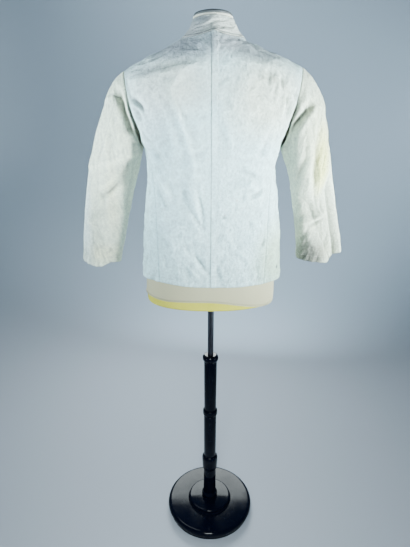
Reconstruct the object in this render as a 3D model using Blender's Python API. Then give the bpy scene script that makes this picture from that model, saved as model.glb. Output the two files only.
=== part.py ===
"""A summer jacket buttoned on a limbless dress form, which stands on a turned base.

Metres, +Z up, floor at z = 0. The stand's axis is the Z axis and the jacket's front faces -Y.
Left and right are the wearer's, so the left side is at +X.
"""

import math
from bisect import bisect_right

import bmesh
import bpy
from mathutils import Vector

LEFT, RIGHT = 1, -1
BACK, FRONT = 1, -1

# Cloth and sewing
CLOTH = 0.0018
SEAM_GAP = 0.0005
FELLED_SEAM_EDGE = -0.0098
FELLED_SEAM_RISE = 0.0008

# Neck and shoulders
NECK_HALF_WIDTH = 0.077
NECK_POINT_HEIGHT = 1.473
NECK_BACK_DEPTH = 0.077
NECK_FRONT_DEPTH = 0.092
SHOULDER_TIP_X = {LEFT: 0.2190, RIGHT: 0.2215}
SHOULDER_TIP_HEIGHT = {LEFT: 1.4065, RIGHT: 1.4150}
BACK_ROLL = 0.10
FRONT_ROLL = 0.19

# Armhole
UNDERARM_HEIGHT = 1.227
RING_STEP = 20
ARMHOLE_GAP = 0.0008

# Hem and front edge
HEM_BASE_HEIGHT = 0.868
LAP_FOLD_START = 0.045
LAP_FOLD_END = 0.026
LAP_GAP = 0.0009
LAP_LIFT = CLOTH + LAP_GAP
HEM_ROWS = 8
WAIST_ROW_LIFT = 0.012

# Stations round the neckline, in degrees from the centre back. The first ones run straight down
NECK_STATIONS = {
    (LEFT, BACK): (3.5, 24, 46, 68, 90),
    (RIGHT, BACK): (-3.5, 6.5, 8.0, 24, 46, 68, 90),
    (LEFT, FRONT): (197, 180, 160, 144, 126, 108, 90),
    (RIGHT, FRONT): (197, 180, 160, 144, 126, 108, 90),
}
STRAIGHT_STATIONS = {(LEFT, BACK): 1, (RIGHT, BACK): 3, (LEFT, FRONT): 4, (RIGHT, FRONT): 4}
SHOULDER_CELLS = 7

# Buttons
BUTTON_RADIUS = 0.0095
BUTTON_THICKNESS = 0.0032
BUTTON_HEIGHTS = (1.392, 1.290, 1.188, 1.086, 0.984)
BUTTON_SEGMENTS = 14
BUTTON_GAP = 0.0009

# Collar
COLLAR_TOP_HALF_WIDTH = 0.0505
COLLAR_TOP_BACK = 0.0515
COLLAR_TOP_FRONT = 0.058
COLLAR_HOLLOW = 0.0035
COLLAR_ROWS = 4
COLLAR_END = 178.4
COLLAR_GAP = 0.0008
COLLAR_TOP = (
    # station, height
    (0, 1.5170),
    (60, 1.5155),
    (90, 1.5120),
    (140, 1.4920),
    (180, 1.4760),
)

# Dress form
FORM_SEGMENTS = 30
COVER_GAP = 0.0005
COVER_WALL = 0.0015
COVER_STRAIGHT = 0.836
COVER_FIRST_RING = 0.845
POLE_RADIUS = 0.0090
POLE_BOTTOM = 0.30
POLE_SOCKET = 0.12
SOCKET_GAP = 0.0004

# Stand
STAND_SEGMENTS = 28
BORE_GAP = 0.00009
PIECE_GAP = 0.0003
BASE_RADIUS = 0.146
BASE_RIM = 0.011
BASE_EDGE_HEIGHT = 0.030
BASE_STEP_RADIUS = 0.072
BASE_STEP_ROUND = 0.006
BASE_TOP = 0.0432


def table(columns, *rows):
    """Rows of named values. The first column is the place of each row."""
    return [dict(zip(columns.split(), row)) for row in rows]


TORSO = table(
    "height half_width back_depth front_depth squareness",
    (0.865, 0.1965, 0.1205, 0.119, 2.35),
    (0.950, 0.1915, 0.1190, 0.118, 2.30),
    (1.008, 0.1875, 0.1170, 0.117, 2.30),
    (1.100, 0.1755, 0.1140, 0.117, 2.30),
    (1.170, 0.1695, 0.1130, 0.119, 2.30),
    (1.205, 0.1720, 0.1140, 0.120, 2.30),
    (1.227, 0.1785, 0.1150, 0.120, 2.30),
    (1.250, 0.1890, 0.1160, 0.120, 2.30),
    (1.280, 0.2050, 0.1170, 0.119, 2.30),
    (1.310, 0.2190, 0.1175, 0.118, 2.30),
    (1.350, 0.2290, 0.1170, 0.116, 2.30),
    (1.400, 0.2340, 0.1150, 0.112, 2.30),
    (1.480, 0.2360, 0.1120, 0.108, 2.30),
)

# Where the side seam runs, seen from behind
SIDE_SEAM = table(
    "height across",
    (0.865, 0.1390),
    (0.950, 0.1420),
    (1.046, 0.1445),
    (1.100, 0.1465),
    (1.146, 0.1500),
    (1.180, 0.1570),
    (1.205, 0.1665),
    (1.227, 0.1785),
)

# The hem, by turn from the centre back. It rides up at the sides, more on the left
HEM = {
    LEFT: table(
        "turn height",
        (0, 0.8765),
        (15, 0.8778),
        (38, 0.8825),
        (60, 0.8815),
        (90, 0.8820),
        (130, 0.8760),
        (180, 0.8755),
    ),
    RIGHT: table(
        "turn height",
        (0, 0.8762),
        (36, 0.8775),
        (52, 0.8792),
        (90, 0.8790),
        (130, 0.8750),
        (180, 0.8755),
    ),
}

# The armhole, from the underarm at share 0 to the shoulder tip at share 1
ARMHOLE = table(
    "share back_x front_x",
    (0.00, 0.1785, 0.1785),
    (0.12, 0.1845, 0.1770),
    (0.30, 0.1925, 0.1790),
    (0.45, 0.2015, 0.1845),
    (0.65, 0.2075, 0.1935),
    (0.85, 0.2135, 0.2065),
    (1.00, 0.2190, 0.2190),
)

# Sleeve sections: the outer and inner edge seen from behind, and the tube's depth from the centre
SLEEVE_COLUMNS = "share outer_x outer_z inner_x inner_z back front drop"
SLEEVE = {
    LEFT: table(
        SLEEVE_COLUMNS,
        (0.00, 0.2190, 1.4065, 0.1785, 1.2270, 0.0540, 0.0680, 0.000),
        (0.06, 0.2425, 1.3860, 0.1815, 1.2180, 0.0555, 0.0660, 0.000),
        (0.13, 0.2610, 1.3570, 0.1850, 1.2060, 0.0570, 0.0640, 0.000),
        (0.20, 0.2750, 1.3200, 0.1885, 1.1920, 0.0580, 0.0610, 0.000),
        (0.30, 0.2935, 1.2740, 0.1950, 1.1640, 0.0575, 0.0590, 0.001),
        (0.42, 0.3130, 1.2200, 0.2055, 1.1310, 0.0565, 0.0570, 0.003),
        (0.58, 0.3330, 1.1410, 0.2190, 1.0770, 0.0550, 0.0570, 0.006),
        (0.75, 0.3490, 1.0500, 0.2340, 1.0160, 0.0480, 0.0580, 0.010),
        (0.90, 0.3600, 0.9740, 0.2480, 0.9580, 0.0370, 0.0600, 0.013),
        (1.00, 0.3640, 0.9300, 0.2580, 0.9180, 0.0310, 0.0610, 0.014),
    ),
    RIGHT: table(
        SLEEVE_COLUMNS,
        (0.00, 0.2215, 1.4150, 0.1785, 1.2270, 0.0540, 0.0680, 0.000),
        (0.06, 0.2450, 1.3930, 0.1815, 1.2190, 0.0550, 0.0650, 0.000),
        (0.13, 0.2680, 1.3600, 0.1855, 1.2090, 0.0565, 0.0630, 0.000),
        (0.20, 0.2840, 1.3240, 0.1900, 1.1960, 0.0570, 0.0600, 0.000),
        (0.30, 0.2950, 1.2760, 0.1985, 1.1740, 0.0560, 0.0570, 0.001),
        (0.42, 0.3080, 1.2120, 0.2080, 1.1450, 0.0545, 0.0550, 0.003),
        (0.58, 0.3260, 1.1330, 0.2175, 1.0940, 0.0520, 0.0550, 0.006),
        (0.75, 0.3465, 1.0430, 0.2300, 1.0330, 0.0450, 0.0560, 0.010),
        (0.90, 0.3635, 0.9730, 0.2380, 0.9680, 0.0350, 0.0580, 0.012),
        (1.00, 0.3675, 0.9400, 0.2420, 0.9280, 0.0300, 0.0590, 0.012),
    ),
}

# How far the sleeve's end hangs below an even cut, round the cuff
CUFF_START = 0.86
CUFF_DIP = {
    LEFT: table(
        "angle drop",
        (0, 0.0010),
        (30, 0.0040),
        (90, 0.0040),
        (105, -0.0020),
        (124, -0.0085),
        (150, -0.0040),
        (180, 0.0015),
        (220, 0.0000),
        (330, 0.0000),
        (360, 0.0010),
    ),
    RIGHT: table(
        "angle drop",
        (0, 0.0000),
        (30, 0.0030),
        (50, 0.0090),
        (70, 0.0108),
        (90, 0.0040),
        (110, 0.0010),
        (150, 0.0000),
        (360, 0.0000),
    ),
}
SLEEVE_SHARES = (
    0, 0.02, 0.05, 0.09, 0.14, 0.19, 0.25, 0.31, 0.38, 0.45,
    0.52, 0.59, 0.66, 0.73, 0.80, 0.87, 0.94, 1,
)  # fmt: skip
SLEEVE_HEAD = 0.22
HIND_SEAM = {LEFT: 60, RIGHT: 80}
FORE_SEAM = 240

# The largest folds, seen from behind: a rise is proud of the cloth, a negative one is a trough
FOLD_COLUMNS = "start_x start_z end_x end_z width rise"
BACK_FOLDS = table(
    FOLD_COLUMNS,
    (0.190, 1.345, 0.165, 1.300, 0.014, -0.0060),
    (0.160, 1.392, 0.035, 1.410, 0.015, -0.0040),
    (0.098, 1.360, 0.030, 1.100, 0.020, 0.0045),
    (0.130, 1.160, 0.108, 1.118, 0.020, 0.0045),
    (0.052, 0.985, 0.010, 0.915, 0.020, -0.0040),
    (-0.165, 1.380, -0.178, 1.315, 0.014, -0.0045),
    (-0.110, 1.128, -0.075, 1.150, 0.020, 0.0030),
    (-0.150, 1.005, -0.120, 0.975, 0.018, -0.0030),
)
FRONT_FOLDS = table(
    FOLD_COLUMNS,
    (0.165, 1.300, 0.090, 1.190, 0.022, -0.0050),
    (-0.160, 1.310, -0.095, 1.215, 0.022, -0.0045),
    (0.105, 1.112, 0.060, 1.092, 0.016, 0.0035),
    (-0.110, 1.050, -0.060, 1.080, 0.016, 0.0035),
    (0.140, 0.960, 0.110, 1.060, 0.020, -0.0035),
)
SLEEVE_FOLDS = table(
    FOLD_COLUMNS + " face",
    (0.226, 1.348, 0.205, 1.272, 0.013, -0.0150, BACK),
    (0.286, 1.107, 0.237, 1.137, 0.014, -0.0055, BACK),
    (0.300, 1.160, 0.262, 1.175, 0.018, 0.0040, BACK),
    (-0.243, 1.328, -0.196, 1.266, 0.013, -0.0170, BACK),
    (-0.269, 1.300, -0.262, 1.160, 0.015, -0.0050, BACK),
    (-0.250, 1.030, -0.316, 1.054, 0.014, 0.0060, BACK),
    (0.236, 1.150, 0.300, 1.120, 0.020, -0.0070, FRONT),
    (0.232, 1.300, 0.215, 1.235, 0.016, -0.0100, FRONT),
    (-0.238, 1.140, -0.300, 1.110, 0.020, -0.0065, FRONT),
    (-0.232, 1.305, -0.214, 1.240, 0.016, -0.0100, FRONT),
)

# The jersey's lower edge, lower on the form's right side
COVER_HEM = table(
    "across height",
    (-0.185, 0.8015),
    (-0.150, 0.8035),
    (-0.120, 0.8085),
    (-0.076, 0.8175),
    (-0.031, 0.8260),
    (0.014, 0.8297),
    (0.081, 0.8280),
    (0.126, 0.8255),
    (0.185, 0.8290),
)

FORM = table(
    "height centre half_width back front squareness",
    (0.800, 0.0030, 0.1730, 0.1015, 0.0985, 2.20),
    (0.803, 0.0030, 0.1790, 0.1070, 0.1040, 2.25),
    (0.808, 0.0030, 0.1815, 0.1095, 0.1065, 2.30),
    (0.830, 0.0030, 0.1825, 0.1100, 0.1070, 2.30),
    (0.880, 0.0025, 0.1805, 0.1100, 0.1070, 2.30),
    (0.980, 0.0000, 0.1660, 0.1030, 0.1020, 2.25),
    (1.100, 0.0000, 0.1480, 0.0955, 0.0960, 2.20),
    (1.200, 0.0000, 0.1540, 0.0990, 0.1030, 2.20),
    (1.300, 0.0000, 0.1710, 0.1020, 0.1060, 2.20),
    (1.350, 0.0000, 0.1790, 0.0990, 0.0980, 2.15),
    (1.385, 0.0000, 0.1790, 0.0910, 0.0870, 2.00),
    (1.408, 0.0000, 0.1620, 0.0830, 0.0750, 1.80),
    (1.428, 0.0000, 0.1310, 0.0745, 0.0650, 1.70),
    (1.448, 0.0000, 0.0920, 0.0640, 0.0560, 1.65),
    (1.468, 0.0000, 0.0610, 0.0540, 0.0490, 1.85),
    (1.488, 0.0000, 0.0480, 0.0470, 0.0460, 2.00),
    (1.5225, 0.0000, 0.0445, 0.0445, 0.0445, 2.00),
)

# The neck cap's profile, above the top of the neck
NECK_CAP = table(
    "height radius",
    (0.0000, 0.0463),
    (0.0020, 0.0466),
    (0.0042, 0.0440),
    (0.0062, 0.0375),
    (0.0078, 0.0250),
    (0.0085, 0.0000),
)

MATERIALS = {
    # name: colour, roughness, metallic
    "cotton": ((0.80, 0.81, 0.78), 0.90, 0.0),
    "sleeve_cotton": ((0.82, 0.81, 0.74), 0.90, 0.0),
    "button": ((0.82, 0.80, 0.74), 0.35, 0.0),
    "jersey": ((0.72, 0.69, 0.62), 0.95, 0.0),
    "foam": ((0.80, 0.76, 0.38), 0.85, 0.0),
    "neck_cap": ((0.16, 0.17, 0.18), 0.50, 0.0),
    "lacquer": ((0.012, 0.013, 0.018), 0.12, 0.0),
    "chrome": ((0.62, 0.64, 0.66), 0.22, 1.0),
}


def read(rows, column, place):
    """The column's value between the rows, on a smooth curve through them."""
    key = next(iter(rows[0]))
    places = [row[key] for row in rows]
    values = [row[column] for row in rows]
    if place <= places[0]:
        return values[0]
    if place >= places[-1]:
        return values[-1]
    low = bisect_right(places, place) - 1
    step = places[low + 1] - places[low]

    def slope(i):
        before, after = max(i - 1, 0), min(i + 1, len(rows) - 1)
        return (values[after] - values[before]) / (places[after] - places[before])

    s = (place - places[low]) / step
    from_low = (2 * s**3 - 3 * s**2 + 1) * values[low] + (s**3 - 2 * s**2 + s) * step * slope(low)
    from_high = (3 * s**2 - 2 * s**3) * values[low + 1] + (s**3 - s**2) * step * slope(low + 1)
    return from_low + from_high


def ease(share):
    """0 to 1 with a soft start and end."""
    share = min(max(share, 0.0), 1.0)
    return share * share * (3 - 2 * share)


def mix(a, b, share):
    return a + (b - a) * share


# The jacket's body as a surface of turn (0 at the centre back, 180 at the centre front) and height


def shoulder_slope(side):
    run = SHOULDER_TIP_X[side] - NECK_HALF_WIDTH
    return (NECK_POINT_HEIGHT - SHOULDER_TIP_HEIGHT[side]) / run


def shoulder_height(side, across):
    """The height of the shoulder line this far from the centre, even across the neck."""
    slope = shoulder_slope(side)
    if across < NECK_HALF_WIDTH:
        slope = (shoulder_slope(LEFT) + shoulder_slope(RIGHT)) / 2
    return NECK_POINT_HEIGHT - slope * (across - NECK_HALF_WIDTH)


def roll(side, face, across, height):
    """How far the cloth has come round from the shoulder line: 0 on it, 1 below it."""
    deep = BACK_ROLL if face == BACK else FRONT_ROLL
    drop = (shoulder_height(side, across) - height) / deep
    drop = min(max(drop, 0.0), 1.0)
    return math.sqrt(1 - (1 - drop) ** 2)


def torso_point(side, turn, height):
    power = 2 / read(TORSO, "squareness", height)
    sine, cosine = math.sin(math.radians(turn)), math.cos(math.radians(turn))
    face = BACK if cosine >= 0 else FRONT
    across = math.copysign(abs(sine) ** power, sine) * read(TORSO, "half_width", height)
    depth = read(TORSO, "back_depth" if face == BACK else "front_depth", height)
    y = face * depth * abs(cosine) ** power * roll(side, face, abs(across), height)
    return Vector((side * across, y, height))


def turn_at(across, height, face):
    """The turn at which the section of this height is this far from the centre."""
    share = abs(across) / read(TORSO, "half_width", height)
    sine = min(share, 1.0) ** (read(TORSO, "squareness", height) / 2)
    turn = math.copysign(math.degrees(math.asin(sine)), across)
    return turn if face == BACK else 180 - turn


def height_at(side, face, across, depth):
    """The height at which the cloth, this far from the centre, stands this deep."""
    high = shoulder_height(side, abs(across))
    low = high - (BACK_ROLL if face == BACK else FRONT_ROLL)
    for _ in range(30):
        middle = (low + high) / 2
        point = torso_point(side, turn_at(abs(across), middle, face), middle)
        if abs(point.y) > depth:
            low = middle
        else:
            high = middle
    return (low + high) / 2


def torso_normal(side, turn, height):
    """The outward direction of the cloth, from points a little to each side."""
    step_turn, step_height = 0.6, 0.0015
    along = torso_point(side, turn + step_turn, height) - torso_point(side, turn - step_turn, height)
    up = torso_point(side, turn, height + step_height) - torso_point(side, turn, height - step_height)
    normal = along.cross(up) if side == RIGHT else up.cross(along)
    return normal.normalized()


def shoulder_normal(side):
    slope = shoulder_slope(side)
    return Vector((side * slope, 0, 1)).normalized()


def fold_rise(folds, x, z):
    """How far the folds lift the cloth at a place seen from behind."""
    total = 0.0
    for fold in folds:
        start = Vector((fold["start_x"], fold["start_z"]))
        line = Vector((fold["end_x"], fold["end_z"])) - start
        offset = Vector((x, z)) - start
        share = min(max(offset.dot(line) / line.length_squared, 0.0), 1.0)
        distance = (offset - line * share).length
        total += fold["rise"] * math.exp(-((distance / fold["width"]) ** 2))
    return total


# Edges of the body's pieces, each as (turn, height)


def neckline(side, station, face):
    """A point of the neckline, at a station in degrees round the neck from the centre back."""
    angle = math.radians(station)
    across = NECK_HALF_WIDTH * math.sin(angle)
    depth = (NECK_BACK_DEPTH if face == BACK else NECK_FRONT_DEPTH) * abs(math.cos(angle))
    height = height_at(side, face, across, depth)
    return turn_at(across, height, face), height


def shoulder_edge(side, share, face):
    across = mix(NECK_HALF_WIDTH, SHOULDER_TIP_X[side], share)
    height = shoulder_height(side, across)
    return turn_at(across, height, face), height


def armhole_edge(side, angle):
    """A point of the armhole: 0 at the shoulder tip, 90 at the back, 180 under the arm."""
    face = BACK if angle <= 180 else FRONT
    share = (1 + math.cos(math.radians(angle))) / 2
    height = mix(UNDERARM_HEIGHT, SHOULDER_TIP_HEIGHT[side], share)
    across = read(ARMHOLE, "back_x" if face == BACK else "front_x", share)
    across += (SHOULDER_TIP_X[side] - ARMHOLE[-1]["back_x"]) * share
    return turn_at(across, height, face), height


def side_seam_edge(side, share):
    turn = turn_at(read(SIDE_SEAM, "across", HEM_BASE_HEIGHT), HEM_BASE_HEIGHT, BACK)
    height = mix(read(HEM[side], "height", turn), UNDERARM_HEIGHT, share)
    return turn_at(read(SIDE_SEAM, "across", height), height, BACK), height


def patch(centre, side_edge, hem, top):
    """Rows of (turn, height) that fill the space between four edges."""
    columns = [(t - hem[0][0]) / (hem[-1][0] - hem[0][0]) for t, _ in hem]
    rows = [(z - centre[0][1]) / (centre[-1][1] - centre[0][1]) for _, z in centre]
    grid = []
    for j, v in enumerate(rows):
        line = []
        for i, u in enumerate(columns):
            place = []
            for k in (0, 1):
                across = mix(centre[j][k], side_edge[j][k], u)
                upward = mix(hem[i][k], top[i][k], v)
                corners = mix(mix(hem[0][k], hem[-1][k], u), mix(top[0][k], top[-1][k], u), v)
                place.append(across + upward - corners)
            line.append(tuple(place))
        grid.append(line)
    return grid


def ring_angles(face):
    """The armhole's angles from the underarm up to the shoulder tip."""
    step = -RING_STEP if face == BACK else RING_STEP
    return range(180, 0 if face == BACK else 360, step)


def row_shares(face):
    """How high each row above the underarm lies, from 0 to 1."""
    return [(1 + math.cos(math.radians(angle))) / 2 for angle in ring_angles(face)] + [1.0]


def panel_edges(side, face):
    """The centre, side, hem and top edges of one back or front."""
    top = [neckline(side, station, face) for station in NECK_STATIONS[side, face]]
    top += [shoulder_edge(side, k / SHOULDER_CELLS, face) for k in range(1, SHOULDER_CELLS + 1)]

    straight = STRAIGHT_STATIONS[side, face]
    hem_turns = []
    for turn, height in top[:straight]:
        across = side * torso_point(side, turn, height).x
        hem_turns.append(turn_at(across, HEM_BASE_HEIGHT, face))
    seam_turn = side_seam_edge(side, 0)[0]
    left = len(top) - straight
    hem_turns += [mix(hem_turns[straight - 1], seam_turn, (k + 1) / left) for k in range(left)]
    hem = [(turn, read(HEM[side], "height", turn)) for turn in hem_turns]

    side_edge = [side_seam_edge(side, k / HEM_ROWS) for k in range(HEM_ROWS)]
    side_edge += [armhole_edge(side, angle) for angle in ring_angles(face)]
    side_edge.append(top[-1])

    low, high = hem[0], top[0]
    middle = UNDERARM_HEIGHT + WAIST_ROW_LIFT
    heights = [mix(low[1], middle, k / HEM_ROWS) for k in range(HEM_ROWS)]
    heights += [mix(middle, high[1], share) for share in row_shares(face)]
    centre = [
        (mix(low[0], high[0], (z - low[1]) / (high[1] - low[1])), z) for z in heights
    ]
    return centre, side_edge, hem, top


def lap_lift(side, turn, x):
    """The left front lies over the right one near the centre front."""
    if side == RIGHT or turn < 90:
        return 0.0
    return LAP_LIFT * ease((LAP_FOLD_START - x) / (LAP_FOLD_START - LAP_FOLD_END))


def felled_rise(side, face, x):
    """The felled seam stands proud along the centre edge of the right back."""
    inside = side == RIGHT and face == BACK and x > FELLED_SEAM_EDGE
    return FELLED_SEAM_RISE if inside else 0.0


def body_panel(name, side, face):
    edges = panel_edges(side, face)
    folds = BACK_FOLDS if face == BACK else FRONT_FOLDS
    outer, inner = [], []
    places = patch(*edges)
    for j, line in enumerate(places):
        calm = ease((len(places) - 1 - j) / 3)
        outer_row, inner_row = [], []
        for i, (turn, height) in enumerate(line):
            point = torso_point(side, turn, height)
            on_shoulder = j == len(places) - 1 and i >= len(NECK_STATIONS[side, face]) - 1
            normal = shoulder_normal(side) if on_shoulder else torso_normal(side, turn, height)
            on_face = (turn < 90) == (face == BACK)
            folded = fold_rise(folds, point.x, point.z) * calm if on_face else 0.0
            point += normal * (folded * edge_calm(i, len(line)) + lap_lift(side, turn, point.x))
            inner_row.append(point - normal * CLOTH)
            outer_row.append(point + normal * felled_rise(side, face, point.x))
        outer.append(outer_row)
        inner.append(inner_row)
    part_edges(outer, inner)
    add_wall(name, outer, inner, "cotton")


def edge_calm(column, columns):
    """Folds die out at the side edge, where another piece joins."""
    return ease((columns - 1 - column) / 2)


def part_edges(outer, inner):
    """Draws every edge of a wall in by half the seam gap."""
    for grid in (outer, inner):
        for row in grid:
            row[0] += (row[1] - row[0]).normalized() * SEAM_GAP / 2
            row[-1] += (row[-2] - row[-1]).normalized() * SEAM_GAP / 2
        for k in range(len(grid[0])):
            grid[0][k] += (grid[1][k] - grid[0][k]).normalized() * SEAM_GAP / 2
            grid[-1][k] += (grid[-2][k] - grid[-1][k]).normalized() * SEAM_GAP / 2


# Sleeves, as sections round an arm: 0 at the outer edge, 90 at the back, 180 at the inner edge


def sleeve_section(side, share, angle):
    row = {key: read(SLEEVE[side], key, share) for key in SLEEVE[side][0]}
    outer = Vector((row["outer_x"], 0, row["outer_z"]))
    inner = Vector((row["inner_x"], 0, row["inner_z"]))
    turn = math.radians(angle)
    point = inner.lerp(outer, (1 + math.cos(turn)) / 2)
    across = math.sin(turn)
    point.y = across * (row["back"] if across > 0 else row["front"])
    point.z -= row["drop"] * across
    point.z -= read(CUFF_DIP[side], "drop", angle % 360) * ease((share - CUFF_START) / (1 - CUFF_START))
    point.x *= side
    return point


def sleeve_point(side, share, angle):
    """A section, drawn to the armhole's own shape near the sleeve head."""
    point = sleeve_section(side, share, angle)
    fit = (1 - min(share / SLEEVE_HEAD, 1)) ** 2
    armhole = torso_point(side, *armhole_edge(side, angle % 360))
    point += (armhole - sleeve_section(side, 0, angle)) * fit
    point.x += side * ARMHOLE_GAP
    return point


def sleeve_normal(side, share, angle):
    step_angle, step_share = 4, 0.01
    round_it = sleeve_point(side, share, angle + step_angle) - sleeve_point(side, share, angle - step_angle)
    low, high = max(share - step_share, 0), min(share + step_share, 1)
    down = sleeve_point(side, high, angle) - sleeve_point(side, low, angle)
    normal = round_it.cross(down) if side == RIGHT else down.cross(round_it)
    return normal.normalized()


def sleeve_piece(name, side, start, end):
    """One cut piece of a sleeve, between two angles, as a wall."""
    outer, inner = [], []
    for share in SLEEVE_SHARES:
        outer_row, inner_row = [], []
        calm = ease(share / 0.06) * ease((1 - share) / 0.04)
        for angle in range(start, end + 1, RING_STEP):
            point = sleeve_point(side, share, angle)
            normal = sleeve_normal(side, share, angle)
            face = BACK if 0 < angle % 360 < 180 else FRONT
            folds = [fold for fold in SLEEVE_FOLDS if fold["face"] == face]
            edge = abs(math.sin(math.radians(angle)))
            point += normal * fold_rise(folds, point.x, point.z) * calm * ease(edge / 0.6)
            outer_row.append(point)
            inner_row.append(point - normal * CLOTH)
        outer.append(outer_row)
        inner.append(inner_row)
    part_edges(outer, inner)
    add_wall(name, outer, inner, "sleeve_cotton")


# Collar


def outward_from_neck(station, side):
    angle = math.radians(station)
    return Vector((side * math.sin(angle), math.cos(angle), 0))


def collar_line(station, share, side):
    """A point of the collar's outer face, from the neckline at share 0 to its top at 1."""
    face = BACK if station <= 90 else FRONT
    foot = torso_point(side, *neckline(side, station, face)) + Vector((0, 0, COLLAR_GAP))
    outward = outward_from_neck(station, side)
    deep = COLLAR_TOP_BACK if station <= 90 else COLLAR_TOP_FRONT
    top_height = read(table("station height", *COLLAR_TOP), "height", station)
    top = Vector((COLLAR_TOP_HALF_WIDTH * outward.x, deep * outward.y, top_height))
    return foot.lerp(top, share) - outward * COLLAR_HOLLOW * math.sin(math.pi * share)


def collar():
    """The band runs round from the left front to the right front."""
    stations = [(COLLAR_END, LEFT)]
    stations += [(s, LEFT) for s in NECK_STATIONS[LEFT, FRONT] if 90 < s < 180]
    stations += [(s, LEFT) for s in reversed(NECK_STATIONS[LEFT, BACK])]
    stations += [(s, RIGHT) for s in NECK_STATIONS[RIGHT, BACK] if s > 0]
    stations += [(s, RIGHT) for s in reversed(NECK_STATIONS[RIGHT, FRONT]) if 90 < s < 180]
    stations += [(COLLAR_END, RIGHT)]
    outer, inner = [], []
    for k in range(COLLAR_ROWS + 1):
        outer_row, inner_row = [], []
        for station, side in stations:
            point = collar_line(station, k / COLLAR_ROWS, side)
            outer_row.append(point)
            inner_row.append(point - outward_from_neck(station, side) * CLOTH)
        outer.append(outer_row)
        inner.append(inner_row)
    part_edges(outer, inner)
    add_wall("collar", outer, inner, "cotton")


# Buttons


def buttons():
    for k, height in enumerate(BUTTON_HEIGHTS):
        normal = torso_normal(LEFT, 180, height)
        cloth = torso_point(LEFT, 180, height) + normal * LAP_LIFT
        profile = [
            (0, 0),
            (BUTTON_RADIUS * 0.9, 0),
            (BUTTON_RADIUS, BUTTON_THICKNESS * 0.4),
            (BUTTON_RADIUS * 0.92, BUTTON_THICKNESS),
            (BUTTON_RADIUS * 0.68, BUTTON_THICKNESS * 0.75),
            (0, BUTTON_THICKNESS * 0.70),
        ]
        made = turned(f"button_{k + 1}", profile, "button", BUTTON_SEGMENTS)
        made.location = cloth + normal * BUTTON_GAP
        made.rotation_mode = "QUATERNION"
        made.rotation_quaternion = normal.to_track_quat("Z", "Y")


# Dress form


def form_point(height, angle, grow):
    """A point of the form's section, 0 degrees at the left, 90 at the back."""
    power = 2 / read(FORM, "squareness", height)
    cosine, sine = math.cos(math.radians(angle)), math.sin(math.radians(angle))
    deep = read(FORM, "back" if sine > 0 else "front", height) + grow
    x = (read(FORM, "half_width", height) + grow) * math.copysign(abs(cosine) ** power, cosine)
    y = deep * math.copysign(abs(sine) ** power, sine)
    return Vector((x + read(FORM, "centre", height), y, height))


def form_angles():
    return [360 * k / FORM_SEGMENTS for k in range(FORM_SEGMENTS)]


def foam_form():
    """The foam body, with a socket in its underside for the pole."""
    socket = POLE_RADIUS + SOCKET_GAP
    rings = [circle(socket, FORM[0]["height"] + POLE_SOCKET), circle(socket, FORM[0]["height"])]
    rings += [[form_point(row["height"], a, 0) for a in form_angles()] for row in FORM]
    add_rings("form_foam", rings, "foam")


def circle(radius, height):
    """A ring with the form's number of points."""
    angles = [math.radians(a) for a in form_angles()]
    return [Vector((radius * math.cos(a), radius * math.sin(a), height)) for a in angles]



def jersey_cover():
    """The form's jersey skin, a tube from its uneven hem to the neck."""
    heights = [COVER_STRAIGHT, COVER_FIRST_RING]
    heights += [row["height"] for row in FORM if row["height"] > COVER_FIRST_RING]
    skins = []
    for grow in (COVER_GAP + COVER_WALL, COVER_GAP):
        rings = [[form_point(height, a, grow) for a in form_angles()] for height in heights]
        for point in rings[0]:
            point.z = read(COVER_HEM, "height", point.x)
        skins.append(rings)
    add_tube("form_cover", *skins, "jersey")


def neck_cap():
    low = FORM[-1]["height"] + PIECE_GAP
    profile = [(0, low)] + [(row["radius"], low + row["height"]) for row in NECK_CAP]
    turned("neck_cap", profile, "neck_cap", FORM_SEGMENTS)


# Stand


def pole():
    top = FORM[0]["height"] + POLE_SOCKET - 2 * PIECE_GAP
    profile = [(0, POLE_BOTTOM), (POLE_RADIUS, POLE_BOTTOM), (POLE_RADIUS, top), (0, top)]
    turned("pole", profile, "chrome", STAND_SEGMENTS)


def arc(centre_radius, centre_height, radius, start, end, cells):
    """Points of an arc in the turning profile, in degrees from the outward direction."""
    found = []
    for k in range(cells + 1):
        angle = math.radians(mix(start, end, k / cells))
        found.append((centre_radius + radius * math.cos(angle), centre_height + radius * math.sin(angle)))
    return found


# Outlines of the stand's bored parts, each from its lower end up
STAND_PARTS = {
    "stand_foot": table(
        "height radius",
        (0.0435, 0.0240),
        (0.0470, 0.0262),
        (0.0560, 0.0266),
        (0.0600, 0.0245),
        (0.0630, 0.0215),
        (0.1100, 0.0206),
        (0.1660, 0.0206),
    ),
    "stand_ring_low": table(
        "height radius",
        (0.1663, 0.0236),
        (0.1710, 0.0246),
        (0.2030, 0.0262),
        (0.2105, 0.0262),
        (0.2165, 0.0245),
        (0.2200, 0.0215),
    ),
    "stand_column_low": table("height radius", (0.2203, 0.0203), (0.3837, 0.0203)),
    "stand_ring_middle": table(
        "height radius",
        (0.3840, 0.0190),
        (0.3860, 0.0222),
        (0.3900, 0.0236),
        (0.4010, 0.0236),
        (0.4050, 0.0222),
        (0.4070, 0.0190),
    ),
    "stand_column_high": table("height radius", (0.4073, 0.0196), (0.5857, 0.0202)),
    "stand_ring_top": table(
        "height radius",
        (0.5860, 0.0185),
        (0.5872, 0.0219),
        (0.5912, 0.0241),
        (0.5965, 0.0247),
        (0.6018, 0.0241),
        (0.6058, 0.0213),
        (0.6072, 0.0165),
    ),
}


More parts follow.
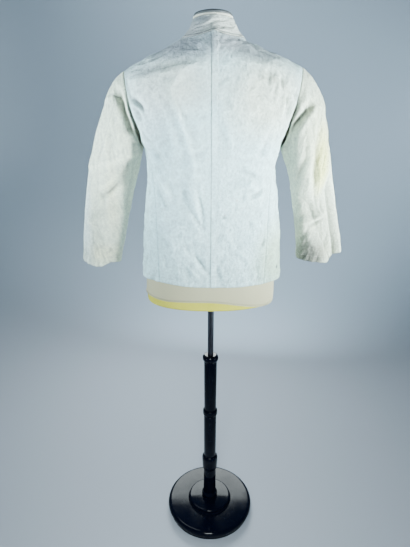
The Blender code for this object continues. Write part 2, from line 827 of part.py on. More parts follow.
def base_disc():
    """The weighted base: a flat disc with a round rim and a raised middle."""
    rim, step = BASE_RIM, BASE_STEP_ROUND
    profile = [(0, 0), (BASE_RADIUS - rim / 2, 0)]
    profile += arc(BASE_RADIUS - rim, BASE_EDGE_HEIGHT - rim, rim, -55, 90, 6)
    profile += [(BASE_STEP_RADIUS + step / 2, BASE_EDGE_HEIGHT)]
    profile += arc(BASE_STEP_RADIUS - step, BASE_TOP - step, step, -20, 90, 4)
    profile += [(0, BASE_TOP)]
    turned("stand_base", profile, "lacquer", STAND_SEGMENTS)


def column_parts():
    """Column lengths and rings, bored for the pole."""
    bore = POLE_RADIUS + BORE_GAP
    for name, rows in STAND_PARTS.items():
        outline = [(row["radius"], row["height"]) for row in rows]
        profile = [(bore, rows[0]["height"]), *outline, (bore, rows[-1]["height"])]
        turned(name, profile, "lacquer", STAND_SEGMENTS, closed=True)


# Making objects


def clear_scene():
    for found in list(bpy.data.objects):
        bpy.data.objects.remove(found, do_unlink=True)


def material(name):
    found = bpy.data.materials.get(name)
    if found:
        return found
    colour, roughness, metallic = MATERIALS[name]
    made = bpy.data.materials.new(name)
    made.use_nodes = True
    shader = made.node_tree.nodes["Principled BSDF"]
    shader.inputs["Base Color"].default_value = (*colour, 1)
    shader.inputs["Roughness"].default_value = roughness
    shader.inputs["Metallic"].default_value = metallic
    made.diffuse_color = (*colour, 1)
    return made


def add_object(name, mesh, material_name):
    made = bpy.data.objects.new(name, mesh)
    mesh.materials.append(material(material_name))
    mesh.shade_smooth()
    mesh.set_sharp_from_angle(angle=math.radians(40))
    bpy.context.scene.collection.objects.link(made)
    return made


def finish_mesh(name, shape, material_name):
    bmesh.ops.recalc_face_normals(shape, faces=shape.faces)
    mesh = bpy.data.meshes.new(name)
    shape.to_mesh(mesh)
    shape.free()
    return add_object(name, mesh, material_name)


def face_between(shape, lower, upper, closed):
    """A strip of faces between two rows of vertices."""
    count = len(lower)
    for k in range(count if closed else count - 1):
        after = (k + 1) % count
        shape.faces.new((lower[k], lower[after], upper[after], upper[k]))


def add_wall(name, outer, inner, material_name):
    """A closed wall between two grids of points, with its four edges."""
    shape = bmesh.new()
    skins = [[[shape.verts.new(p) for p in row] for row in grid] for grid in (outer, inner)]
    for skin in skins:
        for lower, upper in zip(skin, skin[1:]):
            face_between(shape, lower, upper, False)
    first, second = skins
    for a, b in (
        (first[0], second[0]),
        (first[-1], second[-1]),
        ([row[0] for row in first], [row[0] for row in second]),
        ([row[-1] for row in first], [row[-1] for row in second]),
    ):
        face_between(shape, a, b, False)
    return finish_mesh(name, shape, material_name)


def add_tube(name, outer, inner, material_name):
    """A closed wall between two stacks of rings."""
    shape = bmesh.new()
    skins = [[[shape.verts.new(p) for p in row] for row in grid] for grid in (outer, inner)]
    for skin in skins:
        for lower, upper in zip(skin, skin[1:]):
            face_between(shape, lower, upper, True)
    for end in (0, -1):
        face_between(shape, skins[0][end], skins[1][end], True)
    return finish_mesh(name, shape, material_name)


def add_rings(name, rings, material_name):
    """A solid through a stack of rings, closed at both ends."""
    shape = bmesh.new()
    rows = [[shape.verts.new(p) for p in ring] for ring in rings]
    for lower, upper in zip(rows, rows[1:]):
        face_between(shape, lower, upper, True)
    for end in (rows[0], rows[-1]):
        shape.faces.new(end)
    return finish_mesh(name, shape, material_name)


def turned(name, profile, material_name, segments, closed=False):
    """A shape turned about its own Z axis from points of (radius, height)."""
    shape = bmesh.new()
    rings = []
    for radius, height in profile:
        if radius < 1e-6:
            rings.append([shape.verts.new((0, 0, height))])
            continue
        angles = [2 * math.pi * k / segments for k in range(segments)]
        rings.append([shape.verts.new((radius * math.cos(a), radius * math.sin(a), height)) for a in angles])
    pairs = list(zip(rings, rings[1:]))
    if closed:
        pairs.append((rings[-1], rings[0]))
    for lower, upper in pairs:
        if len(lower) == 1 or len(upper) == 1:
            tip, ring = (lower[0], upper) if len(lower) == 1 else (upper[0], lower)
            for k in range(segments):
                shape.faces.new((tip, ring[k], ring[(k + 1) % segments]))
        else:
            face_between(shape, lower, upper, True)
    return finish_mesh(name, shape, material_name)


def jacket():
    for side, word in ((LEFT, "left"), (RIGHT, "right")):
        body_panel(f"back_{word}", side, BACK)
        body_panel(f"front_{word}", side, FRONT)
        hind = HIND_SEAM[side]
        sleeve_piece(f"sleeve_{word}_top", side, FORE_SEAM, 360 + hind)
        sleeve_piece(f"sleeve_{word}_under", side, hind, FORE_SEAM)
    collar()
    buttons()


def dress_form():
    foam_form()
    jersey_cover()
    neck_cap()
    pole()


def stand():
    base_disc()
    column_parts()


clear_scene()
jacket()
dress_form()
stand()
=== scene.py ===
# %% [markdown]
# # A summer jacket on a dress form
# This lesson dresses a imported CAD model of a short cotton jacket. The jacket hangs, buttoned,
# on a foam form with a jersey cover, and the form's pole slides in a turned, lacquered stand.
# Each step first says what the piece is on the real thing and why it is made the way it is.

# %% Load the frame
import math

import bmesh
import bpy
import numpy as np
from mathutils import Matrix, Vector, noise


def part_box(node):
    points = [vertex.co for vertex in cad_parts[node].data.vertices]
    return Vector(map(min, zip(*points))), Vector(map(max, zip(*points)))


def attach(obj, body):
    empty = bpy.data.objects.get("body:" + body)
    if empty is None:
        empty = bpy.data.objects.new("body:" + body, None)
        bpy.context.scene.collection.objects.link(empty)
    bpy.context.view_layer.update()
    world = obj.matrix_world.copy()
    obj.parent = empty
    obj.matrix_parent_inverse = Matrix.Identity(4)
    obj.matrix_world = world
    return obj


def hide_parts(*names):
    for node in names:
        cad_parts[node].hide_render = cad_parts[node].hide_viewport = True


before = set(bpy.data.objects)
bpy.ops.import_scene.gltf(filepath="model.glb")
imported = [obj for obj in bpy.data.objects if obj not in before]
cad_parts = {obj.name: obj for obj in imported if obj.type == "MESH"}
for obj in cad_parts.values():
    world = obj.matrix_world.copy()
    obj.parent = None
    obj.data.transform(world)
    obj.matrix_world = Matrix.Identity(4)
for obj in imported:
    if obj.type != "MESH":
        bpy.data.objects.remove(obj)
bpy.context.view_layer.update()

# %% [markdown]
# ## Camera
# The photograph looks at the jacket's back from a little above its middle. Its perspective was
# solved from the round base and the level hems, and the camera stands where that puts it.

# %% Place the camera
IMAGE_WIDTH = 410
FOCAL_PIXELS = 411
SENSOR = 36
CAMERA_TILT = 19.14
CAMERA_TURN = 180
CAMERA_SHIFT_PIXELS = 2.3
CAMERA_PLACE = (0.0245, 1.128, 1.266)


def add_object(name, data):
    """A new object in the scene."""
    made = bpy.data.objects.new(name, data)
    bpy.context.scene.collection.objects.link(made)
    return made


lens = bpy.data.cameras.new("camera")
lens.sensor_fit = "HORIZONTAL"
lens.sensor_width = SENSOR
lens.lens = FOCAL_PIXELS / IMAGE_WIDTH * SENSOR
lens.shift_x = CAMERA_SHIFT_PIXELS / IMAGE_WIDTH
camera = add_object("camera", lens)
camera.location = CAMERA_PLACE
camera.rotation_euler = (math.radians(90 - CAMERA_TILT), 0, math.radians(CAMERA_TURN))
bpy.context.scene.camera = camera
print("camera lens:", round(lens.lens, 2), "mm")

# %% [markdown]
# ## Tables and smooth curves
# A garment is drawn from a few measures at a few places. A table keeps them by name, and a
# smooth curve through its rows gives every place in between, for whole grids of points at once.

# %% Read tables on smooth curves
LEFT, RIGHT = 1, -1
BACK, FRONT = 1, -1


def table(columns, *rows):
    """Named columns of numbers. The first one is the place of each row."""
    names = enumerate(columns.split())
    return {name: np.array([row[k] for row in rows], float) for k, name in names}


def read(rows, column, place):
    """A column of a table at any place, on a smooth curve through its rows."""
    places, values = next(iter(rows.values())), rows[column]
    count = len(places)
    before = np.maximum(np.arange(count) - 1, 0)
    after = np.minimum(np.arange(count) + 1, count - 1)
    slopes = (values[after] - values[before]) / (places[after] - places[before])
    place = np.clip(place, places[0], places[-1])
    low = np.clip(np.searchsorted(places, place, side="right") - 1, 0, count - 2)
    step = places[low + 1] - places[low]
    s = (place - places[low]) / step
    from_low = (2 * s**3 - 3 * s**2 + 1) * values[low] + (s**3 - 2 * s**2 + s) * step * slopes[low]
    from_high = (3 * s**2 - 2 * s**3) * values[low + 1] + (s**3 - s**2) * step * slopes[low + 1]
    return from_low + from_high


def ease(share):
    """0 to 1 with a soft start and end."""
    share = np.clip(share, 0, 1)
    return share * share * (3 - 2 * share)


def mix(a, b, share):
    """From a to b by a share between 0 and 1."""
    return a + (b - a) * share


print("half way between two rows:", read(table("place value", (0, 1), (1, 2)), "value", 0.5))

# %% [markdown]
# ## The jacket's body
# Back and fronts lie on one surface: level sections like a squared-off oval, which turn over into
# the shoulder line. A place on it has a turn, 0 at the centre back and 180 at the centre front,
# and a height. The measures are those of the CAD solids, so the fine cloth lies on their form.

# %% Measures of the body
NECK_HALF_WIDTH = 0.077
NECK_POINT_HEIGHT = 1.473
NECK_DEPTH = {BACK: 0.077, FRONT: 0.092}
SHOULDER_TIP_X = {LEFT: 0.2190, RIGHT: 0.2215}
SHOULDER_TIP_HEIGHT = {LEFT: 1.4065, RIGHT: 1.4150}
ROLL = {BACK: 0.10, FRONT: 0.19}
UNDERARM_HEIGHT = 1.227
RING_STEP = 20
HEM_BASE_HEIGHT = 0.868
HEM_ROWS = 8
ROWS = 17
WAIST_ROW_LIFT = 0.012
SHOULDER_CELLS = 7
HALVINGS = 30
NECK_STATIONS = {
    (LEFT, BACK): (3.5, 24, 46, 68, 90),
    (RIGHT, BACK): (-3.5, 6.5, 8.0, 24, 46, 68, 90),
    (LEFT, FRONT): (197, 180, 160, 144, 126, 108, 90),
    (RIGHT, FRONT): (197, 180, 160, 144, 126, 108, 90),
}
STRAIGHT_STATIONS = {(LEFT, BACK): 1, (RIGHT, BACK): 3, (LEFT, FRONT): 4, (RIGHT, FRONT): 4}

TORSO = table(
    "height half_width back_depth front_depth squareness",
    (0.865, 0.1965, 0.1205, 0.119, 2.35),
    (0.950, 0.1915, 0.1190, 0.118, 2.30),
    (1.008, 0.1875, 0.1170, 0.117, 2.30),
    (1.100, 0.1755, 0.1140, 0.117, 2.30),
    (1.170, 0.1695, 0.1130, 0.119, 2.30),
    (1.205, 0.1720, 0.1140, 0.120, 2.30),
    (1.227, 0.1785, 0.1150, 0.120, 2.30),
    (1.250, 0.1890, 0.1160, 0.120, 2.30),
    (1.280, 0.2050, 0.1170, 0.119, 2.30),
    (1.310, 0.2190, 0.1175, 0.118, 2.30),
    (1.350, 0.2290, 0.1170, 0.116, 2.30),
    (1.400, 0.2340, 0.1150, 0.112, 2.30),
    (1.480, 0.2360, 0.1120, 0.108, 2.30),
)
SIDE_SEAM = table(
    "height across",
    (0.865, 0.1390),
    (0.950, 0.1420),
    (1.046, 0.1445),
    (1.100, 0.1465),
    (1.146, 0.1500),
    (1.180, 0.1570),
    (1.205, 0.1665),
    (1.227, 0.1785),
)
HEM = {
    LEFT: table(
        "turn height",
        (0, 0.8765), (15, 0.8778), (38, 0.8825), (60, 0.8815), (90, 0.8820), (130, 0.8760),
        (180, 0.8755),
    ),
    RIGHT: table(
        "turn height",
        (0, 0.8762), (36, 0.8775), (52, 0.8792), (90, 0.8790), (130, 0.8750), (180, 0.8755),
    ),
}
ARMHOLE = table(
    "share back_x front_x",
    (0.00, 0.1785, 0.1785),
    (0.12, 0.1845, 0.1770),
    (0.30, 0.1925, 0.1790),
    (0.45, 0.2015, 0.1845),
    (0.65, 0.2075, 0.1935),
    (0.85, 0.2135, 0.2065),
    (1.00, 0.2190, 0.2190),
)

# %% The body's surface


def shoulder_slope(side):
    run = SHOULDER_TIP_X[side] - NECK_HALF_WIDTH
    return (NECK_POINT_HEIGHT - SHOULDER_TIP_HEIGHT[side]) / run


def shoulder_height(side, across):
    even = (shoulder_slope(LEFT) + shoulder_slope(RIGHT)) / 2
    slope = np.where(across < NECK_HALF_WIDTH, even, shoulder_slope(side))
    return NECK_POINT_HEIGHT - slope * (across - NECK_HALF_WIDTH)


def torso(side, turn, height):
    """Points of the body's surface."""
    power = 2 / read(TORSO, "squareness", height)
    sine, cosine = np.sin(np.radians(turn)), np.cos(np.radians(turn))
    back = cosine >= 0
    across = np.sign(sine) * np.abs(sine) ** power * read(TORSO, "half_width", height)
    depth = np.where(back, read(TORSO, "back_depth", height), -read(TORSO, "front_depth", height))
    roll = np.where(back, ROLL[BACK], ROLL[FRONT])
    drop = (shoulder_height(side, np.abs(across)) - height) / roll
    rolled = np.sqrt(1 - (1 - np.clip(drop, 0, 1)) ** 2)
    deep = depth * np.abs(cosine) ** power * rolled
    return np.stack([side * across, deep, height + 0 * across], -1)


def turn_at(across, height, face):
    """The turn at which the section of this height is this far from the centre."""
    share = np.minimum(np.abs(across) / read(TORSO, "half_width", height), 1)
    turn = np.sign(across) * np.degrees(np.arcsin(share ** (read(TORSO, "squareness", height) / 2)))
    return np.where(face == BACK, turn, 180 - turn)


def height_at(side, face, across, depth):
    """The height at which the cloth, this far from the centre, stands this deep."""
    high = shoulder_height(side, np.abs(across))
    low = high - ROLL[face]
    for _ in range(HALVINGS):
        middle = (low + high) / 2
        deeper = np.abs(torso(side, turn_at(np.abs(across), middle, face), middle)[..., 1]) > depth
        low, high = np.where(deeper, middle, low), np.where(deeper, high, middle)
    return (low + high) / 2


print("widest at the hem:", 2 * TORSO["half_width"][0], "m")

# %% The edges of the cut pieces


def neckline(side, station, face):
    across = NECK_HALF_WIDTH * np.sin(np.radians(station))
    height = height_at(side, face, across, NECK_DEPTH[face] * np.abs(np.cos(np.radians(station))))
    return turn_at(across, height, face), height


def shoulder_edge(side, share, face):
    across = mix(NECK_HALF_WIDTH, SHOULDER_TIP_X[side], share)
    height = shoulder_height(side, across)
    return turn_at(across, height, face), height


def armhole_edge(side, angle):
    """The armhole: 0 at the shoulder tip, 90 at the back, 180 under the arm, 270 at the front."""
    share = (1 + np.cos(np.radians(angle))) / 2
    height = mix(UNDERARM_HEIGHT, SHOULDER_TIP_HEIGHT[side], share)
    back = angle <= 180
    across = np.where(back, read(ARMHOLE, "back_x", share), read(ARMHOLE, "front_x", share))
    across = across + (SHOULDER_TIP_X[side] - ARMHOLE["back_x"][-1]) * share
    return turn_at(across, height, np.where(back, BACK, FRONT)), height


def side_seam(side, share):
    low = turn_at(read(SIDE_SEAM, "across", HEM_BASE_HEIGHT), HEM_BASE_HEIGHT, BACK)
    height = mix(read(HEM[side], "height", low), UNDERARM_HEIGHT, share)
    return turn_at(read(SIDE_SEAM, "across", height), height, BACK), height


def top_edge(side, face, column):
    """The neckline, then the shoulder line."""
    stations = NECK_STATIONS[side, face]
    last = len(stations) - 1
    neck = neckline(side, np.interp(column, range(last + 1), stations), face)
    shoulder = shoulder_edge(side, np.clip((column - last) / SHOULDER_CELLS, 0, 1), face)
    return [np.where(column <= last, a, b) for a, b in zip(neck, shoulder)]


def hem_edge(side, face, column, columns):
    straight = STRAIGHT_STATIONS[side, face]
    stations = np.array(NECK_STATIONS[side, face][:straight], float)
    across = side * torso(side, *neckline(side, stations, face))[..., 0]
    turns = list(turn_at(across, HEM_BASE_HEIGHT, face))
    left = columns + 1 - straight
    last, seam = turns[straight - 1], side_seam(side, 0)[0]
    turns += [mix(last, seam, (k + 1) / left) for k in range(left)]
    turn = np.interp(column, range(columns + 1), turns)
    return turn, read(HEM[side], "height", turn)


def side_edge(side, face, row):
    """The side seam, then the armhole up to the shoulder tip."""
    seam = side_seam(side, np.clip(row / HEM_ROWS, 0, 1))
    lift = np.clip(row - HEM_ROWS, 0, ROWS - HEM_ROWS) * RING_STEP
    hole = armhole_edge(side, 180 - lift if face == BACK else 180 + lift)
    return [np.where(row <= HEM_ROWS, a, b) for a, b in zip(seam, hole)]


def panel_places(side, face, row, column, columns):
    """Turn and height all over a cut piece, filled in between its four edges."""
    hem, top = hem_edge(side, face, column, columns), top_edge(side, face, column)
    edge = side_edge(side, face, row)
    middle = UNDERARM_HEIGHT + WAIST_ROW_LIFT
    share = (1 + np.cos(np.radians(180 - np.maximum(row - HEM_ROWS, 0) * RING_STEP))) / 2
    height = np.where(
        row <= HEM_ROWS, mix(hem[1][0], middle, row / HEM_ROWS), mix(middle, top[1][0], share)
    )
    v = ((height - hem[1][0]) / (top[1][0] - hem[1][0]))[:, None]
    u = ((hem[0] - hem[0][0]) / (hem[0][-1] - hem[0][0]))[None, :]
    centre = [mix(hem[0][0], top[0][0], v[:, 0]), height]
    found = []
    for k in (0, 1):
        across = mix(centre[k][:, None], edge[k][:, None], u)
        upward = mix(hem[k][None, :], top[k][None, :], v)
        corners = mix(mix(hem[k][0], hem[k][-1], u), mix(top[k][0], top[k][-1], u), v)
        found.append(across + upward - corners)
    return found


print("underarm at turn", round(float(armhole_edge(LEFT, np.array(180.0))[0]), 1))

# %% [markdown]
# ## Folds
# Cotton keeps a few long soft folds where it hangs from the shoulders, and short hard creases where
# it is pushed together at the armholes and elbows. Each is placed as seen from behind: a soft fold
# by its two ends, in metres, and a crease by the points it passes, in millimetres, with a width and a
# rise. A negative rise is a trough. A crease also lifts the cloth a little on one side, as a real one
# does. Near the cuffs the sleeves lie in flat facets, each with a line, a slope and a limit.

# %% Soft folds, as on the solids
SOFT = "start_x start_z end_x end_z width rise"
BACK_FOLDS = table(
    SOFT,
    (0.190, 1.345, 0.165, 1.300, 0.014, -0.0060),
    (0.160, 1.392, 0.035, 1.410, 0.015, -0.0026),
    (0.098, 1.360, 0.030, 1.100, 0.020, 0.0045),
    (0.130, 1.160, 0.108, 1.118, 0.020, 0.0045),
    (0.052, 0.985, 0.010, 0.915, 0.020, -0.0040),
    (-0.165, 1.380, -0.178, 1.315, 0.014, -0.0045),
    (-0.110, 1.128, -0.075, 1.150, 0.020, 0.0030),
    (-0.150, 1.005, -0.120, 0.975, 0.018, -0.0030),
)
FRONT_FOLDS = table(
    SOFT,
    (0.165, 1.300, 0.090, 1.190, 0.022, -0.0050),
    (-0.160, 1.310, -0.095, 1.215, 0.022, -0.0045),
    (0.105, 1.112, 0.060, 1.092, 0.016, 0.0035),
    (-0.110, 1.050, -0.060, 1.080, 0.016, 0.0035),
    (0.140, 0.960, 0.110, 1.060, 0.020, -0.0035),
)
SLEEVE_BACK_FOLDS = table(
    SOFT,
    (0.226, 1.348, 0.205, 1.272, 0.013, -0.0150),
    (0.286, 1.107, 0.237, 1.137, 0.014, -0.0055),
    (0.300, 1.160, 0.262, 1.175, 0.018, 0.0040),
    (-0.238, 1.327, -0.193, 1.270, 0.0095, -0.0120),
    (-0.269, 1.300, -0.262, 1.160, 0.015, -0.0050),
    (-0.250, 1.030, -0.316, 1.054, 0.014, 0.0060),
)
SLEEVE_FRONT_FOLDS = table(
    SOFT,
    (0.236, 1.150, 0.300, 1.120, 0.020, -0.0070),
    (0.232, 1.300, 0.215, 1.235, 0.016, -0.0100),
    (-0.238, 1.140, -0.300, 1.110, 0.020, -0.0065),
    (-0.232, 1.305, -0.214, 1.240, 0.016, -0.0100),
)


def soft_rise(folds, x, z):
    """Rise of the soft folds at points seen from behind."""
    total = np.zeros_like(x)
    for x0, z0, x1, z1, width, rise in zip(*folds.values()):
        share = ((x - x0) * (x1 - x0) + (z - z0) * (z1 - z0)) / ((x1 - x0) ** 2 + (z1 - z0) ** 2)
        share = np.clip(share, 0, 1)
        distance = np.hypot(x - mix(x0, x1, share), z - mix(z0, z1, share))
        total += rise * np.exp(-((distance / width) ** 2))
    return total


# %% Creases, finer than the solids carry
BACK_CREASES = [
    # width, rise, points that the crease passes, in millimetres
    (4.5, -3, (213, 1395), (206, 1372), (203, 1353), (198, 1330)),
    (4.2, -7, (201.4, 1346.2), (194, 1339), (188, 1333), (181, 1326), (174.4, 1317.6), (168, 1302)),
    (6.5, -6, (192, 1322), (183, 1306), (174, 1284)),
    (6, 3, (182, 1352), (172, 1338), (158, 1322)),
    (6, -4, (176, 1268), (166, 1250), (150, 1236)),
    (5, -4, (-160, 1390), (-163, 1358)),
    (4.5, -4, (-188, 1360), (-194, 1345)),
    (6, -6.5, (-178, 1348), (-179, 1330), (-176, 1308)),
    (5.5, -5, (-190, 1338), (-187, 1318), (-180, 1296)),
    (5, 2.4, (-168, 1350), (-170, 1322), (-162, 1296)),
    (4.5, -3.6, (-205, 1365), (-201, 1350), (-196, 1330)),
    (5.5, -2.2, (-150, 1378), (-142, 1352), (-138, 1330)),
    (6, -2, (-128, 1408), (-130, 1386), (-126, 1360)),
    (11, 2.8, (205, 1372), (150, 1383), (100, 1391), (60, 1399), (24, 1408)),
    (7, -2.4, (196, 1390), (160, 1398), (110, 1410), (50, 1420)),
    (3.5, -2, (180, 1412), (140, 1424), (100, 1442), (82, 1456)),
    (4, 1.8, (200, 1404), (165, 1411), (130, 1420)),
    (2.8, -1.6, (206, 1398), (180, 1404), (150, 1414)),
    (2.8, -1.4, (170, 1398), (130, 1410), (96, 1426)),
    (3, -1.2, (120, 1402), (80, 1408), (40, 1412)),
    (4.2, -1.2, (79, 1444), (50, 1441), (22, 1438)),
    (4, -0.8, (70, 1432), (45, 1430), (16, 1424)),
    (4.4, 0.9, (60, 1454), (34, 1452), (12, 1456)),
    (6, -0.7, (-30, 1452), (-58, 1444), (-86, 1432)),
    (4.5, 1.8, (-60, 1456), (-85, 1446), (-118, 1428)),
    (3, -1.4, (-100, 1446), (-140, 1430), (-180, 1418)),
    (8, 2.4, (-80, 1418), (-110, 1408), (-150, 1402)),
    (9, 3.6, (96, 1356), (80, 1301), (60, 1246), (43, 1180), (27, 1089)),
    (9, 2.6, (118, 1330), (100, 1270), (86, 1214)),
    (6, -2.2, (85, 1340), (70, 1300), (62, 1270)),
    (6.5, -3.4, (43, 1180), (34, 1120), (24, 1060), (21, 1017)),
    (7, 2.6, (62, 1150), (48, 1104), (36, 1060)),
    (6, -3.6, (52, 1076), (40, 1056), (25, 1035)),
    (6.5, -4.4, (50, 970), (34, 946), (11, 915)),
    (6, 2.8, (66, 940), (46, 912), (30, 896)),
    (6.5, -2.2, (80, 1010), (66, 986), (56, 960)),
    (7, 4.4, (129, 1158), (119, 1138), (108, 1119)),
    (6.5, -3, (140, 1128), (128, 1108), (120, 1090)),
    (6.5, -2.8, (112, 1150), (100, 1124), (94, 1096)),
    (9, 2.6, (120, 1020), (104, 996), (92, 962)),
    (8, -2.2, (132, 980), (122, 950), (118, 915)),
    (7.5, -3.4, (150, 1230), (135, 1206), (118, 1192)),
    (4.5, -2.6, (-21, 1066), (-36, 1059)),
    (6.5, 4, (-75, 1145), (-92, 1138), (-110, 1128)),
    (6.5, -3.6, (-91, 1108), (-110, 1116), (-129, 1130)),
    (8, 2.8, (-60, 1200), (-84, 1188), (-112, 1170)),
    (6, -2.2, (-70, 1178), (-94, 1166), (-116, 1152)),
    (6, -3.6, (-127, 979), (-136, 990), (-146, 1003)),
    (8, 2.6, (-50, 990), (-70, 974), (-86, 950)),
    (7, -2.2, (-62, 964), (-80, 948), (-90, 924)),
    (7.5, 2.6, (-96, 1060), (-112, 1040), (-132, 1034)),
    (8, -3, (-140, 1270), (-126, 1230), (-118, 1196)),
    (10, 2, (-30, 1300), (-40, 1250), (-46, 1210)),
    (6.5, 2.2, (-20, 936), (-28, 910), (-30, 890)),
    (6, -2.2, (-116, 930), (-122, 905), (-118, 884)),
]
# Folds in which the armhole seams lie, on the back and the sleeve alike
ARMHOLE_VALLEYS = [
    (4.8, -6, (209, 1352), (205, 1325), (200, 1300), (192.5, 1281), (184.5, 1249), (170, 1170)),
    (6, -5.5, (-216.5, 1372), (-208, 1330), (-201.5, 1308), (-192.5, 1281), (-184.5, 1249),
     (-170, 1180)),
]
FRONT_CREASES = [
    (7, -3, (190, 1330), (172, 1308), (150, 1280)),
    (8, -2.6, (182, 1300), (160, 1262), (132, 1232)),
    (7, -3, (-190, 1334), (-174, 1306), (-152, 1286)),
    (8, -2.6, (-180, 1296), (-162, 1260), (-140, 1240)),
    (11, 1.8, (120, 1400), (85, 1350), (62, 1290)),
    (11, 1.6, (-126, 1404), (-90, 1352), (-66, 1300)),
    (8, -1.8, (130, 1110), (100, 1090), (70, 1084)),
    (8, -1.8, (-136, 1120), (-104, 1100), (-74, 1090)),
    (9, 1.6, (96, 990), (84, 950), (80, 910)),
    (9, 1.6, (-110, 980), (-96, 940), (-90, 900)),
    (10, 1.2, (60, 1230), (52, 1180), (50, 1130)),
    (10, 1.2, (-58, 1200), (-52, 1150), (-50, 1100)),
]
SLEEVE_BACK_CREASES = [
    (5, -10, (224.5, 1345), (216.2, 1318.6), (203.4, 1286.6), (195, 1262), (186, 1235)),
    (7, 3.6, (236, 1335), (232, 1310), (222, 1280)),
    (5, -4, (262, 1345), (248, 1352), (236, 1351)),
    (6, -7, (286, 1109), (270, 1113), (252, 1124), (237, 1137)),
    (6.5, 4, (300, 1128), (280, 1130), (262, 1142), (246, 1156)),
    (7, -4, (300, 1118), (288, 1100), (281, 1070)),
    (8, 3, (272, 1190), (262, 1168), (250, 1150)),
    (8, 3, (296, 1230), (290, 1196), (292, 1160)),
    (6, -2.8, (310, 1200), (304, 1160), (302, 1130)),
    (8, -2.6, (262, 1270), (254, 1240), (250, 1205)),
    (8, 2.4, (300, 1060), (290, 1030), (292, 1000)),
    (7.5, -2.4, (270, 1050), (262, 1020), (266, 990)),
    (4.5, -3.6, (287, 945), (279, 951), (271, 958)),
    (4.5, 3, (300, 950), (288, 958), (276, 972)),
    (4.5, -2.8, (318, 960), (302, 966), (290, 976)),
    (5, -2.8, (330, 985), (318, 965), (310, 945)),
    (5, 2, (348, 965), (340, 950), (336, 930)),
    (4.4, -11, (-238, 1321), (-227.9, 1309.5), (-214.3, 1295.8), (-200.7, 1279.7), (-191.7, 1268),
     (-186, 1236), (-184, 1215)),
    (6.5, 5, (-256, 1318), (-240, 1302), (-226, 1278), (-214, 1255)),
    (5, 3.4, (-252, 1345), (-243, 1334), (-236, 1318)),
    (6.5, -5, (-269, 1291), (-264, 1230), (-261, 1167), (-268, 1110), (-282, 1064)),
    (7, 3, (-280, 1280), (-276, 1230), (-272, 1180)),
    (6, 3.6, (-262, 1215), (-246, 1180), (-240, 1150)),
    (6, -1.2, (-240, 1210), (-232, 1178), (-232, 1140)),
    (6.5, 3.6, (-276, 1180), (-280, 1140), (-290, 1100)),
    (7, -2, (-310, 1220), (-312, 1180), (-318, 1140)),
    (6, 7, (-250, 1032), (-272, 1035), (-294, 1043), (-314, 1053)),
    (5, -4.6, (-252, 1018), (-275, 1022), (-300, 1032)),
    (6, -3.4, (-296, 1100), (-300, 1070), (-312, 1050)),
    (6, 2.2, (-320, 1090), (-328, 1062), (-334, 1030)),
    (6, 2.4, (-290, 1010), (-296, 985), (-310, 965)),
    (5, -3, (-330, 990), (-322, 970), (-324, 945)),
    (5, 2.2, (-344, 1000), (-340, 975), (-346, 952)),
]
SLEEVE_FRONT_CREASES = [
    (6, -3.4, (236, 1160), (262, 1140), (300, 1126)),
    (6, -2.6, (240, 1120), (268, 1104), (306, 1100)),
    (7, -4, (236, 1320), (226, 1280), (216, 1240)),
    (6, -3.4, (-238, 1150), (-262, 1134), (-300, 1120)),
    (6, -2.6, (-242, 1112), (-268, 1096), (-304, 1092)),
    (7, -4, (-236, 1320), (-226, 1280), (-216, 1240)),
    (6, 1.8, (300, 1010), (316, 990), (336, 982)),
    (6, 1.8, (-290, 1010), (-310, 992), (-330, 984)),
]
COLLAR_CREASES = [
    (2.8, -2, (69, 1476), (49, 1484), (26, 1486)),
    (2.6, -1.5, (62, 1484), (37, 1492), (17, 1494)),
    (2.6, -1.8, (60, 1494), (44, 1500), (24, 1502)),
    (2.6, -1.2, (49, 1510), (22, 1513), (-6, 1513)),
    (3, -1.6, (13, 1494), (-1, 1502), (-19, 1506)),
    (3, -1.8, (-12, 1486), (-28, 1494), (-44, 1490)),
    (2.8, 1.4, (4, 1480), (-24, 1484), (-51, 1478)),
]
CREASES = (BACK_CREASES, FRONT_CREASES, SLEEVE_BACK_CREASES, SLEEVE_FRONT_CREASES, COLLAR_CREASES)
print("creases:", sum(len(creases) for creases in CREASES))

# %% Flat facets, where the cloth slopes inwards on the far side of a line, down to a limit
SLEEVE_FACETS = table(
    "start_x start_z end_x end_z slope limit",
    (-0.3127, 0.9161, -0.2263, 1.0500, 0.85, 0.026),
    (-0.205, 1.280, -0.225, 1.200, 0.35, 0.010),
    (0.330, 0.925, 0.292, 0.975, -0.30, 0.008),
)
FACET_ROUNDING = 0.004
FACET_START, FACET_RISE = -0.35, 0.3
FACET_END, FACET_FADE = 1.4, 0.4


def facet_fall(x, z):
    """How far the flat facets fall below the sleeve's round form, as a negative rise."""
    total = np.zeros_like(x)
    for x0, z0, x1, z1, slope, limit in zip(*SLEEVE_FACETS.values()):
        length = math.hypot(x1 - x0, z1 - z0)
        away = ((z - z0) * (x1 - x0) - (x - x0) * (z1 - z0)) / length * np.sign(slope)
        along = ((x - x0) * (x1 - x0) + (z - z0) * (z1 - z0)) / length**2
        window = ease((along - FACET_START) / FACET_RISE) * ease((FACET_END - along) / FACET_FADE)
        soft = np.sqrt(away**2 + FACET_ROUNDING**2) / 2 + away / 2
        total -= np.minimum(abs(slope) * soft, limit) * window
    return total


print("facets:", len(SLEEVE_FACETS["slope"]))

# %% The form of a crease
CREASE_SHARPNESS = 1.7
END_FADE = 0.7
SWELLING_PLACE, SWELLING_WIDTH, SWELLING_SHARE = 1.8, 1.3, 0.35


